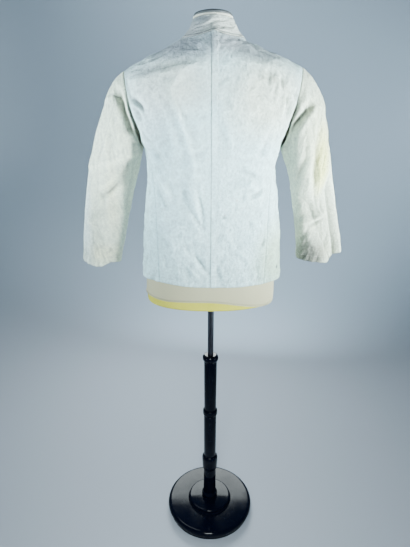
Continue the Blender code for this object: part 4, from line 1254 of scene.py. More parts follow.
def line_object(paths, closed=False):
    """A curve object with one straight-jointed line for each path."""
    curve = bpy.data.curves.new("line", "CURVE")
    curve.dimensions = "3D"
    for path in paths:
        spline = curve.splines.new("POLY")
        spline.points.add(len(path) - 1)
        spline.points.foreach_set("co", np.hstack([path, np.ones((len(path), 1))]).ravel())
        spline.use_cyclic_u = closed
    return add_object("line", curve)


# %% A tree that sweeps a bead
bead_tree, start, end = new_tree(
    "sweep a bead",
    [
        ("Radius", "NodeSocketFloat", 0.001),
        ("Sides", "NodeSocketInt", 8),
        ("Material", "NodeSocketMaterial", None),
    ],
)
ring = node(
    bead_tree,
    "GeometryNodeCurvePrimitiveCircle",
    {"Radius": start.outputs["Radius"], "Resolution": start.outputs["Sides"]},
)
swept = node(
    bead_tree,
    "GeometryNodeCurveToMesh",
    {"Curve": start.outputs["Geometry"], "Profile Curve": ring.outputs[0], "Fill Caps": True},
)
smooth = node(bead_tree, "GeometryNodeSetShadeSmooth", {"Geometry": swept.outputs[0]})
finish_tree(bead_tree, start, end, smooth.outputs[0])

# %% A tree that turns a profile on the lathe
LATHE_SHARP_ANGLE = 42
WELD = 1e-6

lathe_tree, start, end = new_tree(
    "turn a profile",
    [("Steps", "NodeSocketInt", 96), ("Material", "NodeSocketMaterial", None)],
)
steps = start.outputs["Steps"]
line = node(lathe_tree, "GeometryNodeMeshLine", {"Count": steps, "Offset": (0, 0, 0)})
index = node(lathe_tree, "GeometryNodeInputIndex")
share = sums(lathe_tree, "DIVIDE", index.outputs[0], steps)
turned = times(lathe_tree, share, math.tau)
rotation = node(lathe_tree, "ShaderNodeCombineXYZ", {"Z": turned})
copies = node(
    lathe_tree,
    "GeometryNodeInstanceOnPoints",
    {
        "Points": line.outputs[0],
        "Instance": start.outputs["Geometry"],
        "Rotation": rotation.outputs[0],
    },
)
finish_tree(lathe_tree, start, end, copies.outputs[0])


def lathe(name, profile, material, steps=96):
    """Turned copies of a profile line, bridged into one closed smooth surface."""
    radii = np.array([(r, 0, z) for r, z in profile], float)
    rib = bpy.data.meshes.new("profile")
    rib.from_pydata(radii.tolist(), [(k, k + 1) for k in range(len(profile) - 1)], [])
    source = add_object("profile", rib)
    made = run_tree(lathe_tree, source, name, {"Steps": steps, "Material": material})
    shape = bmesh.new()
    shape.from_mesh(made.data)
    ribs = [shape.verts[:][k * len(profile):(k + 1) * len(profile)] for k in range(steps)]
    for k, rib_verts in enumerate(ribs):
        after = ribs[(k + 1) % steps]
        for j in range(len(profile) - 1):
            shape.faces.new((rib_verts[j], after[j], after[j + 1], rib_verts[j + 1]))
    bmesh.ops.remove_doubles(shape, verts=shape.verts, dist=WELD)
    bmesh.ops.recalc_face_normals(shape, faces=shape.faces)
    shape.to_mesh(made.data)
    shape.free()
    made.data.materials.clear()
    made.data.materials.append(material)
    made.data.shade_smooth()
    made.data.set_sharp_from_angle(angle=math.radians(LATHE_SHARP_ANGLE))
    return made


# %% A tree that sets stitches
stitch_tree, start, end = new_tree(
    "set stitches",
    [
        ("Pitch", "NodeSocketFloat", 0.0026),
        ("Stitch", "NodeSocketFloat", 0.0019),
        ("Thread", "NodeSocketFloat", 0.00045),
        ("Material", "NodeSocketMaterial", None),
    ],
)
points = node(
    stitch_tree,
    "GeometryNodeCurveToPoints",
    {"Curve": start.outputs["Geometry"], "Length": start.outputs["Pitch"]},
    mode="LENGTH",
)
ball = node(stitch_tree, "GeometryNodeMeshIcoSphere", {"Radius": 0.5, "Subdivisions": 1})
smooth = node(stitch_tree, "GeometryNodeSetShadeSmooth", {"Geometry": ball.outputs[0]})
thick = start.outputs["Thread"]
size = node(stitch_tree, "ShaderNodeCombineXYZ", {"X": thick, "Y": thick, "Z": start.outputs["Stitch"]})
placed = node(
    stitch_tree,
    "GeometryNodeInstanceOnPoints",
    {
        "Points": points.outputs["Points"],
        "Instance": smooth.outputs[0],
        "Rotation": points.outputs["Rotation"],
        "Scale": size.outputs[0],
    },
)
finish_tree(stitch_tree, start, end, placed.outputs[0])

# %% [markdown]
# ## Shared effects for the materials
# Three effects serve more than one finish, so each is a node group with named inputs. Twill weave
# reads the flat cloth's UV map. Soft blotches are the uneven tone that every worn surface has.
# Small marks are spots at stated places: stains, and patches of painted shade and painted light.

# %% Helpers for shader groups


def new_group(name, inputs, outputs):
    """A shader group with named sockets. Returns the group and its first and last nodes."""
    group = bpy.data.node_groups.new(name, "ShaderNodeTree")
    for label, kind, default in inputs:
        socket = group.interface.new_socket(label, in_out="INPUT", socket_type=kind)
        if default is not None:
            socket.default_value = default
    for label, kind in outputs:
        group.interface.new_socket(label, in_out="OUTPUT", socket_type=kind)
    return group, group.nodes.new("NodeGroupInput"), group.nodes.new("NodeGroupOutput")


def object_place(tree):
    """The place of a point in metres, for textures that don't follow the cloth."""
    return node(tree, "ShaderNodeTexCoord").outputs["Object"]


def ranged(tree, value, from_low, from_high, to_low=0.0, to_high=1.0):
    """A value carried from one range to another and held within it."""
    limits = {"From Min": from_low, "From Max": from_high, "To Min": to_low, "To Max": to_high}
    return node(tree, "ShaderNodeMapRange", {"Value": value, **limits}).outputs[0]


# %% The twill weave
RIB_TONE, RIB_HEIGHT = 0.012, 0.3
SLUB_TONE, SLUB_HEIGHT = 0.35, 1.2
FINE, LONG = 900, 90

weave, start, end = new_group(
    "twill weave",
    [("Rib", "NodeSocketFloat", 0.0009), ("Slubs", "NodeSocketFloat", 0.5)],
    [("Tone", "NodeSocketFloat"), ("Height", "NodeSocketFloat")],
)
cloth_map = node(weave, "ShaderNodeUVMap", uv_map="flat_cloth")
split = node(weave, "ShaderNodeSeparateXYZ", {0: cloth_map.outputs[0]})
slant = sums(weave, "ADD", split.outputs[0], split.outputs[1])
phase = sums(weave, "DIVIDE", slant, start.outputs["Rib"])
ribs = sums(weave, "SINE", times(weave, phase, math.tau))
weft, warp = (
    node(weave, "ShaderNodeMapping", {"Vector": cloth_map.outputs[0], "Scale": scale})
    for scale in ((LONG, FINE, 1), (FINE, LONG, 1))
)
noises = [
    node(weave, "ShaderNodeTexNoise", {"Vector": drawn.outputs[0], "Scale": 1.0, "Detail": 2.0})
    for drawn in (weft, warp)
]
slubs = sums(weave, "ADD", noises[0].outputs[0], noises[1].outputs[0])
slub_share = times(weave, sums(weave, "SUBTRACT", slubs, 1.0), start.outputs["Slubs"])
slub_tone = times(weave, slub_share, SLUB_TONE)
tone = sums(weave, "ADD", times_add(weave, ribs, RIB_TONE, 1.0), slub_tone)
weave.links.new(tone, end.inputs["Tone"])
slub_height = times_add(weave, slub_share, SLUB_HEIGHT, 0.5)
height = times_add(weave, ribs, RIB_HEIGHT, slub_height)
weave.links.new(height, end.inputs["Height"])
print("group:", weave.name)

# %% Soft blotches
blotches, start, end = new_group(
    "soft blotches",
    [
        ("Size", "NodeSocketFloat", 0.05),
        ("Amount", "NodeSocketFloat", 0.05),
        ("Detail", "NodeSocketFloat", 3.0),
    ],
    [("Tone", "NodeSocketFloat"), ("Mask", "NodeSocketFloat")],
)
scale = sums(blotches, "DIVIDE", 1.0, start.outputs["Size"])
cloud = node(
    blotches,
    "ShaderNodeTexNoise",
    {"Vector": object_place(blotches), "Scale": scale, "Detail": start.outputs["Detail"]},
)
centred = sums(blotches, "SUBTRACT", cloud.outputs[0], 0.5)
uneven = times(blotches, centred, start.outputs["Amount"])
blotches.links.new(sums(blotches, "ADD", uneven, 1.0), end.inputs["Tone"])
blotches.links.new(cloud.outputs[0], end.inputs["Mask"])
print("group:", blotches.name)

# %% One small mark
RAGGED_SCALE = 260.0
MARK_CORE = 0.35

mark, start, end = new_group(
    "small mark",
    [
        ("Place", "NodeSocketVector", None),
        ("Reach", "NodeSocketVector", (0.004, 0.004, 0.004)),
        ("Strength", "NodeSocketFloat", 0.5),
        ("Ragged", "NodeSocketFloat", 0.7),
    ],
    [("Mask", "NodeSocketFloat")],
)
place = object_place(mark)
middle, reach = start.outputs["Place"], start.outputs["Reach"]
away = node(mark, "ShaderNodeVectorMath", {0: place, 1: middle}, operation="SUBTRACT")
scaled = node(mark, "ShaderNodeVectorMath", {0: away.outputs[0], 1: reach}, operation="DIVIDE")
far = node(mark, "ShaderNodeVectorMath", {0: scaled.outputs[0]}, operation="LENGTH")
ragged = node(mark, "ShaderNodeTexNoise", {"Vector": place, "Scale": RAGGED_SCALE})
uneven = sums(mark, "SUBTRACT", ragged.outputs[0], 0.5)
uneven = times(mark, uneven, start.outputs["Ragged"])
inside = ranged(mark, sums(mark, "ADD", far.outputs["Value"], uneven), 1.0, MARK_CORE)
mark.links.new(times(mark, inside, start.outputs["Strength"]), end.inputs["Mask"])
print("group:", mark.name)

# %% [markdown]
# ## Cloth finishes
# The cotton is an off-white twill. The body has washed out to a cool white and the sleeves have
# kept a creamier tone, with a faint yellow stain. The weave, the seams and the stitch rows are all
# drawn from the flat measures, so they follow the cloth round every fold. Broad soft marks lie under
# the weave, and the small nick and the specks lie over it. Many broad marks are painted shade, on the
# yoke, the sides of the body, the sleeves and the collar, and a few are painted light.

# %% Helpers for materials


def new_material(name, roughness=0.5, metallic=0.0):
    """A material with its tree and its shader."""
    made = bpy.data.materials.new(name)
    made.use_nodes = True
    shader = made.node_tree.nodes["Principled BSDF"]
    shader.inputs["Roughness"].default_value = roughness
    shader.inputs["Metallic"].default_value = metallic
    return made, made.node_tree, shader


def group_node(tree, group, **values):
    made = tree.nodes.new("ShaderNodeGroup")
    made.node_tree = group
    for key, value in values.items():
        made.inputs[key].default_value = value
    return made


def blend_colour(tree, factor, a, b, mode="MIX"):
    """Two colours mixed by a factor, each a socket or a plain value."""
    made = node(tree, "ShaderNodeMix", data_type="RGBA", blend_type=mode)
    for socket, value in zip((made.inputs[0], made.inputs[6], made.inputs[7]), (factor, a, b)):
        if hasattr(value, "is_linked"):
            tree.links.new(value, socket)
        else:
            socket.default_value = value if isinstance(value, float) else (*value, 1)
    return made.outputs[2]


def tinted(tree, colour, tone):
    """A colour made lighter or darker by a tone round 1."""
    grey = node(tree, "ShaderNodeCombineColor", {0: tone, 1: tone, 2: tone})
    return blend_colour(tree, 1.0, colour, grey.outputs[0], "MULTIPLY")


def near(tree, distance, place, width):
    """1 on a line this far from an edge, falling off over its width."""
    off = sums(tree, "ABSOLUTE", sums(tree, "SUBTRACT", distance, place))
    return ranged(tree, off, width, 0.0)


def bump(tree, shader, height, distance):
    """Small relief that the mesh doesn't carry."""
    made = node(tree, "ShaderNodeBump", {"Height": height, "Distance": distance, "Strength": 1.0})
    tree.links.new(made.outputs[0], shader.inputs["Normal"])


def kept(tree, name):
    """A distance or depth that the mesh keeps at each of its points."""
    return node(tree, "ShaderNodeAttribute", attribute_name=name).outputs["Fac"]


def colour_with(tree, shader, colour):
    tree.links.new(colour, shader.inputs["Base Color"])


# %% What seams and stitches do to the cotton, and painted shade in creases and at edges
STITCH_FROM_SEAM = (0.0015, 0.0065)
STITCH_FROM_HEM = (0.0025, 0.0140)
STITCH_WIDTH, STITCH_DIRT, STITCH_SINK = 0.0011, 0.14, 0.9
# A painted dark line along each hemmed edge, standing in for the shade under it
EDGE_WIDTH, EDGE_SHADE = 0.0014, 0.45
SPECK = 0.01
BROAD_RAGGED, SPECK_RAGGED = 0.15, 0.7
# Painted shade in creases and deep folds, and a painted highlight on ridges
FOLD_SHADING_TONE = 0.15
DEEP_FOLD_SHADE_TONE = 0.13


def marked(tree, base, marks, ragged):
    """A colour with soft marks laid over it, one after another: stains, tints, painted shade and light.
    """
    for place, reach, strength, colour in marks:
        spot = group_node(tree, mark, Place=place, Reach=reach, Strength=strength, Ragged=ragged)
        base = blend_colour(tree, spot.outputs[0], base, colour)
    return base


def stitch_rows(tree, seam, hem):
    """1 along every row of stitches."""
    rows = near(tree, seam, STITCH_FROM_SEAM[1], STITCH_WIDTH)
    others = [(seam, STITCH_FROM_SEAM[0])] + [(hem, place) for place in STITCH_FROM_HEM]
    for distance, place in others:
        rows = sums(tree, "MAXIMUM", rows, near(tree, distance, place, STITCH_WIDTH))
    return rows


def seam_tone(tree, hem, rows, seam_dirt, seam_width):
    """1 on plain cloth, less where dirt has gathered in seams and between stitches, and painted shade at
    edges.
    """
    sewn = near(tree, kept(tree, "to_plain_seam"), 0.0, seam_width)
    sewn = times(tree, sewn, seam_dirt)
    # Painted shade along the hemmed edge
    edge = times(tree, near(tree, hem, 0.0, EDGE_WIDTH), EDGE_SHADE)
    sewn = sums(tree, "MAXIMUM", sewn, edge)
    sewn = sums(tree, "MAXIMUM", sewn, times(tree, rows, STITCH_DIRT))
    return times_add(tree, sewn, -1.0, 1.0)


def painted_fold_shading(tree):
    """Painted shade below 1 in a crease, lower in a deep fold; a painted highlight a little over 1 on a
    ridge.
    """
    hollow = kept(tree, "hollow")
    shallow = sums(tree, "MINIMUM", hollow, 1.0)
    below = sums(tree, "SUBTRACT", hollow, shallow)
    deep = times_add(tree, below, -DEEP_FOLD_SHADE_TONE, 1.0)
    return times_add(tree, shallow, -FOLD_SHADING_TONE, deep)


# %% Cotton
SEAM_WIDTH = 0.0018
PUCKER_SCALE, PUCKER_DETAIL, PUCKER_ROUGHNESS = 130.0, 5.0, 0.68
PUCKER_RELIEF, TWILL_RELIEF = 8.5, 0.35
COTTON_RELIEF = 0.0006


def cotton(name, colour, shade_colour, marks, seam_dirt, seam_width=SEAM_WIDTH):
    """Off-white twill: two tones in blotches, weave, darker seams, sunken stitch rows, marks and painted
    shade.
    """
    made, tree, shader = new_material(name, 0.88)
    shader.inputs["Sheen Weight"].default_value = 0.12
    shader.inputs["Sheen Roughness"].default_value = 0.5
    shader.inputs["Specular IOR Level"].default_value = 0.25
    twill = group_node(tree, weave)
    broad = group_node(tree, blotches, Size=0.16, Amount=0.10, Detail=3.0)
    small = group_node(tree, blotches, Size=0.006, Amount=0.75, Detail=4.0)
    base = blend_colour(tree, broad.outputs["Mask"], colour, shade_colour)
    # Broad marks, among them painted shade and painted light, go under the weave
    base = marked(tree, base, [row for row in marks if row[1][0] >= SPECK], BROAD_RAGGED)
    tone = times(tree, twill.outputs["Tone"], small.outputs["Tone"])
    tone = times(tree, tone, broad.outputs["Tone"])
    base = tinted(tree, base, tone)
    hem = kept(tree, "to_hem")
    rows = stitch_rows(tree, kept(tree, "to_seam"), hem)
    base = tinted(tree, base, seam_tone(tree, hem, rows, seam_dirt, seam_width))
    # Painted shade in the creases and folds, and a painted highlight on the ridges
    base = tinted(tree, base, painted_fold_shading(tree))
    base = marked(tree, base, [row for row in marks if row[1][0] < SPECK], SPECK_RAGGED)
    colour_with(tree, shader, base)
    ripples = {"Scale": PUCKER_SCALE, "Detail": PUCKER_DETAIL, "Roughness": PUCKER_ROUGHNESS}
    puckers = node(tree, "ShaderNodeTexNoise", {"Vector": object_place(tree), **ripples})
    height = times(tree, twill.outputs["Height"], TWILL_RELIEF)
    height = times_add(tree, puckers.outputs[0], PUCKER_RELIEF, height)
    height = times_add(tree, rows, -STITCH_SINK, height)
    bump(tree, shader, height, COTTON_RELIEF)
    return made


BODY_MARKS_AND_PAINTED_SHADE = [
    # place, reach, strength, colour
    ((-0.178, 0.059, 0.9146), (0.0034, 0.07, 0.0072), 0.9, (0.05, 0.05, 0.06)),
    # Painted shade on the yoke beside the collar
    ((0.078, 0.05, 1.456), (0.055, 0.6, 0.024), 0.75, (0.2, 0.22, 0.26)),
    ((-0.045, 0.05, 1.455), (0.065, 0.6, 0.026), 0.75, (0.28, 0.3, 0.32)),
    # Small stains, and warm tints high on both sides
    ((-0.06, 0.115, 1.103), (0.004, 0.05, 0.004), 0.4, (0.46, 0.38, 0.32)),
    ((-0.031, 0.115, 1.067), (0.003, 0.05, 0.003), 0.4, (0.46, 0.36, 0.32)),
    ((-0.14, 0.07, 1.376), (0.008, 0.08, 0.006), 0.4, (0.6, 0.54, 0.42)),
    ((0.105, 0.1, 1.37), (0.15, 0.6, 0.09), 0.6, (0.84, 0.82, 0.7)),
    ((-0.13, 0.1, 1.34), (0.13, 0.6, 0.12), 0.7, (0.86, 0.84, 0.66)),
    # Darker low on the right side
    ((-0.18, 0.08, 0.94), (0.09, 0.6, 0.13), 0.85, (0.48, 0.6, 0.44)),
    # Painted shade across the yoke and the left shoulder
    ((0.04, 0.04, 1.455), (0.23, 0.6, 0.05), 0.6, (0.62, 0.64, 0.69)),
    ((0.09, 0.04, 1.442), (0.1, 0.6, 0.032), 0.6, (0.32, 0.34, 0.39)),
    ((-0.11, 0.04, 1.436), (0.09, 0.6, 0.028), 0.85, (0.3, 0.33, 0.36)),
    ((0.165, 0.05, 1.402), (0.075, 0.6, 0.028), 0.45, (0.34, 0.38, 0.42)),
    # A paler, more neutral patch near the left armhole
    ((0.15, 0.1, 1.29), (0.06, 0.6, 0.1), 0.5, (0.78, 0.84, 0.84)),
    # Painted shade down the left side
    ((0.168, 0.09, 1.09), (0.052, 0.6, 0.23), 0.45, (0.38, 0.56, 0.6)),
    ((0.135, 0.1, 1.22), (0.055, 0.6, 0.09), 0.45, (0.38, 0.52, 0.56)),
]
SLEEVE_MARKS_AND_PAINTED_SHADING = [
    # A faint yellow stain
    ((-0.281, 0.05, 1.195), (0.028, 0.09, 0.115), 0.9, (0.86, 0.81, 0.26)),
    ((-0.27, 0.05, 1.24), (0.06, 0.09, 0.14), 0.35, (0.84, 0.82, 0.48)),
    # Painted shade on the lower sleeves
    ((-0.3, 0.05, 1.01), (0.09, 0.12, 0.12), 0.4, (0.46, 0.46, 0.36)),
    ((0.3, 0.05, 1.02), (0.09, 0.12, 0.15), 0.45, (0.42, 0.43, 0.35)),
    # Darker, yellower towards the cuffs
    ((-0.3, 0.04, 0.945), (0.07, 0.1, 0.03), 0.4, (0.66, 0.62, 0.42)),
    ((0.3, 0.04, 0.945), (0.07, 0.1, 0.035), 0.45, (0.7, 0.66, 0.44)),
    # Painted shade on the inner side of the left sleeve
    ((0.262, 0.06, 1.09), (0.022, 0.1, 0.11), 0.4, (0.74, 0.7, 0.48)),
    # Painted light: a cool tint on the left sleeve's outer side
    ((0.352, 0.0, 1.08), (0.035, 0.1, 0.3), 0.5, (0.7, 0.8, 0.84)),
    # Painted shade on the flat facet at the right cuff
    ((-0.256, 0.05, 0.946), (0.078, 0.12, 0.066), 0.9, (0.2, 0.2, 0.17)),
    ((-0.284, 0.05, 0.93), (0.05, 0.12, 0.048), 0.8, (0.22, 0.21, 0.18)),
    ((-0.228, 0.05, 1.01), (0.02, 0.12, 0.062), 0.65, (0.26, 0.25, 0.22)),
]
COLLAR_PAINTED_SHADING = [
    # Painted shade on the left half of the collar
    ((0.05, 0.04, 1.495), (0.05, 0.1, 0.06), 0.7, (0.42, 0.43, 0.46)),
    # Painted light on the right half of the collar
    ((-0.038, 0.04, 1.485), (0.04, 0.1, 0.032), 0.8, (0.92, 0.94, 0.86)),
    # Painted shade along the top of the left half
    ((0.03, 0.045, 1.51), (0.034, 0.1, 0.014), 0.7, (0.28, 0.3, 0.33)),
]
BODY_DIRT, SLEEVE_DIRT, COLLAR_DIRT = 0.40, 0.10, 0.85
COLLAR_SEAM_WIDTH = 0.0028
body_cotton = cotton(
    "body cotton", (0.60, 0.81, 0.86), (0.64, 0.82, 0.82), BODY_MARKS_AND_PAINTED_SHADE, BODY_DIRT
)
sleeve_cotton = cotton(
    "sleeve cotton", (0.81, 0.84, 0.67), (0.73, 0.77, 0.62), SLEEVE_MARKS_AND_PAINTED_SHADING, SLEEVE_DIRT
)
collar_cotton = cotton(
    "collar cotton", (0.78, 0.80, 0.73), (0.62, 0.63, 0.60), COLLAR_PAINTED_SHADING, COLLAR_DIRT,
    COLLAR_SEAM_WIDTH,
)
print("cottons:", body_cotton.name, sleeve_cotton.name, collar_cotton.name)

# %% Thread, jersey and foam
WALE, LOOP = 0.0014, 0.0011
JERSEY_HEM_STITCH, JERSEY_HEM_WIDTH = 0.0045, 0.0016
JERSEY_RELIEF = 0.0002
PORES_PER_METRE = 700.0
FOAM_RELIEF = 0.0006


def thread_material():
    made, tree, shader = new_material("cotton thread", 0.75)
    tones = group_node(tree, blotches, Size=0.02, Amount=0.12, Detail=1.0)
    colour_with(tree, shader, tinted(tree, (0.72, 0.73, 0.68), tones.outputs["Tone"]))
    return made


def jersey_material():
    """Fine knit: upright ribs of small loops, seen as soft stripes."""
    made, tree, shader = new_material("beige jersey", 0.92)
    shader.inputs["Sheen Weight"].default_value = 0.15
    flat = node(tree, "ShaderNodeUVMap", uv_map="flat_cloth")
    split = node(tree, "ShaderNodeSeparateXYZ", {0: flat.outputs[0]})
    wales = sums(tree, "SINE", times(tree, split.outputs[0], math.tau / WALE))
    loops = sums(tree, "SINE", times(tree, split.outputs[1], math.tau / LOOP))
    loops = times(tree, loops, 0.3)
    knit = times_add(tree, sums(tree, "ABSOLUTE", wales), 0.7, loops)
    broad = group_node(tree, blotches, Size=0.09, Amount=0.10, Detail=2.0)
    rim = near(tree, kept(tree, "to_hem"), JERSEY_HEM_STITCH, JERSEY_HEM_WIDTH)
    rim = times_add(tree, rim, -0.25, 1.0)
    tone = times(tree, broad.outputs["Tone"], rim)
    tone = times(tree, tone, times_add(tree, knit, 0.05, 0.98))
    colour_with(tree, shader, tinted(tree, (0.53, 0.47, 0.30), tone))
    bump(tree, shader, knit, JERSEY_RELIEF)
    return made


def foam_material():
    """Yellow open-cell foam, a little browner in patches, with fine pores."""
    made, tree, shader = new_material("yellow foam", 0.85)
    broad = group_node(tree, blotches, Size=0.07, Amount=0.22, Detail=4.0)
    scale = {"Vector": object_place(tree), "Scale": PORES_PER_METRE}
    pores = node(tree, "ShaderNodeTexVoronoi", scale).outputs[0]
    base = blend_colour(tree, broad.outputs["Mask"], (0.60, 0.53, 0.040), (0.72, 0.62, 0.080))
    tone = times_add(tree, pores, 0.25, 0.88)
    tone = times(tree, broad.outputs["Tone"], tone)
    colour_with(tree, shader, tinted(tree, base, tone))
    bump(tree, shader, pores, FOAM_RELIEF)
    return made


thread, knit_jersey, yellow_foam = thread_material(), jersey_material(), foam_material()
print("soft finishes:", thread.name, knit_jersey.name, yellow_foam.name)

# %% [markdown]
# ## Hard finishes
# The stand is turned wood under black gloss lacquer, rubbed a little dull where it is touched, with
# dust on its base. The pole is steel with a bright satin plating, drawn along its length.

# %% Lacquer, steel, cap and button


def lacquer_material():
    made, tree, shader = new_material("black lacquer", 0.16)
    shader.inputs["Coat Roughness"].default_value = 0.05
    shader.inputs["Specular IOR Level"].default_value = 0.07
    worn = group_node(tree, blotches, Size=0.05, Amount=1.0, Detail=4.0)
    dust = group_node(tree, blotches, Size=0.006, Amount=1.0, Detail=5.0)
    specks = ranged(tree, dust.outputs["Mask"], 0.64, 0.78, 0.0, 0.12)
    base = blend_colour(tree, specks, (0.001, 0.002, 0.007), (0.04, 0.05, 0.08))
    colour_with(tree, shader, base)
    dull = ranged(tree, worn.outputs["Mask"], 0.35, 0.7, 0.07, 0.17)
    tree.links.new(dull, shader.inputs["Roughness"])
    coat = ranged(tree, worn.outputs["Mask"], 0.3, 0.8, 0.08, 0.03)
    tree.links.new(coat, shader.inputs["Coat Weight"])
    return made


def steel_material():
    made, tree, shader = new_material("plated steel", 0.28, 1.0)
    stretched = {"Vector": object_place(tree), "Scale": (900, 900, 12)}
    drawn = node(tree, "ShaderNodeMapping", stretched).outputs[0]
    lines = node(tree, "ShaderNodeTexNoise", {"Vector": drawn, "Scale": 1.0, "Detail": 3.0}).outputs[0]
    base = blend_colour(tree, lines, (0.05, 0.05, 0.06), (0.10, 0.10, 0.12))
    colour_with(tree, shader, base)
    tree.links.new(ranged(tree, lines, 0.3, 0.7, 0.22, 0.38), shader.inputs["Roughness"])
    return made


def cap_material():
    made, tree, shader = new_material("neck cap", 0.55)
    tones = group_node(tree, blotches, Size=0.03, Amount=0.5, Detail=4.0)
    colour_with(tree, shader, tinted(tree, (0.115, 0.12, 0.125), tones.outputs["Tone"]))
    bump(tree, shader, tones.outputs["Mask"], 0.0005)
    return made


def button_material():
    made, tree, shader = new_material("button", 0.32)
    tones = group_node(tree, blotches, Size=0.008, Amount=0.25, Detail=3.0)
    colour_with(tree, shader, tinted(tree, (0.72, 0.69, 0.60), tones.outputs["Tone"]))
    rough = ranged(tree, tones.outputs["Mask"], 0.0, 1.0, 0.24, 0.42)
    tree.links.new(rough, shader.inputs["Roughness"])
    return made


lacquer, steel = lacquer_material(), steel_material()
cap_grey, button_cream = cap_material(), button_material()
print("hard finishes:", lacquer.name, steel.name, cap_grey.name, button_cream.name)

# %% [markdown]
# ## The stand, pole and neck cap
# Every part of the stand came off a lathe, so each is a short profile, radius by height, turned by
# the lathe tree. The profiles are the CAD's, with rounder corners. The column is bored for the pole.

# %% Turn the stand
BORE = 0.00909
POLE_RADIUS = 0.0090


def rounded(points, radius=0.0012, cells=3):
    """A profile with each inner corner replaced by a short arc."""
    found = [points[0]]
    for before, corner, after in zip(points, points[1:], points[2:]):
        a, b, c = (np.array(p, float) for p in (before, corner, after))
        reach = min(radius, *(np.linalg.norm(end - b) / 2.2 for end in (a, c)))
        start = b + (a - b) / np.linalg.norm(a - b) * reach
        end = b + (c - b) / np.linalg.norm(c - b) * reach
        for k in range(cells + 1):
            t = k / cells
            found.append(tuple((1 - t) ** 2 * start + 2 * t * (1 - t) * b + t**2 * end))
    return found + [points[-1]]


def arc(centre_radius, centre_height, radius, start, end, cells):
    angles = np.radians(np.linspace(start, end, cells + 1))
    return [(centre_radius + radius * math.cos(a), centre_height + radius * math.sin(a)) for a in angles]


STAND_PROFILES = {
    "stand_foot": [
        (0.024, 0.0435), (0.0262, 0.047), (0.0268, 0.0515), (0.0262, 0.0565),
        (0.024, 0.06), (0.0215, 0.063), (0.0206, 0.11), (0.0206, 0.166),
    ],
    "stand_ring_low": [
        (0.0236, 0.1663), (0.0246, 0.171), (0.0262, 0.203), (0.0262, 0.2105),
        (0.0245, 0.2165), (0.0215, 0.22),
    ],
    "stand_column_low": [(0.0203, 0.2203), (0.0203, 0.3837)],
    "stand_ring_middle": [
        (0.019, 0.384), (0.0222, 0.386), (0.0236, 0.39), (0.0236, 0.401),
        (0.0222, 0.405), (0.019, 0.407),
    ],
    "stand_column_high": [(0.0196, 0.4073), (0.0202, 0.5857)],
    "stand_ring_top": [
        (0.0185, 0.586), (0.0219, 0.5872), (0.0241, 0.5912), (0.0247, 0.5965),
        (0.0241, 0.6018), (0.0213, 0.6058), (0.0165, 0.6072),
    ],
}

hard_pieces = {}
base_profile = [(0, 0), (0.1405, 0)] + arc(0.135, 0.019, 0.011, -55, 90, 12)
base_profile += [(0.0750, 0.0300)] + arc(0.066, 0.0372, 0.006, -20, 90, 8) + [(0, 0.0432)]
hard_pieces["stand_base"] = lathe("base_turning", base_profile, lacquer, 160)
for name, outline in STAND_PROFILES.items():
    low, high = outline[0][1], outline[-1][1]
    profile = rounded([(BORE, low), *outline, (BORE, high)]) + [(BORE, low)]
    hard_pieces[name] = lathe(name.replace("stand_", "") + "_turning", profile, lacquer)
pole_profile = rounded([(0, 0.30), (POLE_RADIUS, 0.30), (POLE_RADIUS, 0.9194), (0, 0.9194)], 0.0006)
hard_pieces["pole"] = lathe("steel_pole", pole_profile, steel, 64)
cap_profile = [(0, 1.5228), (0.0463, 1.5228), (0.0467, 1.5248), (0.0461, 1.5264)]
cap_profile += [(0.0446, 1.5280), (0.0415, 1.5297), (0.0375, 1.5310), (0.0310, 1.5324)]
cap_profile += [(0.0220, 1.5335), (0.0100, 1.5341), (0, 1.5342)]
hard_pieces["neck_cap"] = lathe("neck_cap_turning", cap_profile, cap_grey, 128)
print("turned pieces:", len(hard_pieces))

# %% [markdown]
# ## Rolled edges of the jersey
# The jersey's lower edge rolls up on itself, as knitted cloth does, and its upper edge is gathered
# into a pale bead under the neck cap. Both are beads swept along a line of points on the cover.

# %% Sweep the rolled edges
HEM_BEAD = 0.0017
NECK_BEAD = 0.0022
NECK_BEAD_RADIUS = 0.0466
NECK_BEAD_HEIGHT = 1.5202
BEAD_SHARE = 0.35
BEAD_SIDES = 10
PALE_JERSEY = (0.86, 0.83, 0.74, 1)


def hem_line():
    """Points on the cover, just over its lower edge."""
    angle = np.arange(0, 360, 1.5)
    x = form_ring(0 * angle + COVER_HEM_LEVEL, angle, 0.0)[..., 0]
    low = read(COVER_HEM, "height", x)
    return form_ring(low + HEM_BEAD, angle, COVER_GAP + COVER_WALL + HEM_BEAD * BEAD_SHARE)


def neck_line():
    """A ring round the neck, under the cap."""
    angle = np.radians(np.arange(0, 360, 2))
    radius = NECK_BEAD_RADIUS - NECK_BEAD * BEAD_SHARE
    x, y = radius * np.cos(angle), radius * np.sin(angle)
    return np.stack([x, y, NECK_BEAD_HEIGHT + 0 * angle], -1)


def rolled_edge(name, line, radius, material):
    values = {"Radius": radius, "Sides": BEAD_SIDES, "Material": material}
    return run_tree(bead_tree, line_object([line], True), name, values)


hem_bead = rolled_edge("jersey_hem_bead", hem_line(), HEM_BEAD, knit_jersey)
pale_jersey = knit_jersey.copy()
pale_jersey.name = "pale jersey"
neck_bead = rolled_edge("neck_bead", neck_line(), NECK_BEAD, pale_jersey)
for found in pale_jersey.node_tree.nodes:
    if found.type == "MIX" and found.blend_type == "MULTIPLY":
        found.inputs[6].default_value = PALE_JERSEY
print("bead faces:", len(hem_bead.data.polygons), len(neck_bead.data.polygons))

# %% [markdown]
# ## Stitches
# A machine has sewn the jacket with pale thread, about four stitches to the centimetre: two rows
# beside each armhole, both edges of the felled seam, two rows round hem and cuffs, and rows along
# the collar and fronts. Each row is a line on the finished cloth, and the tree sets its stitches.

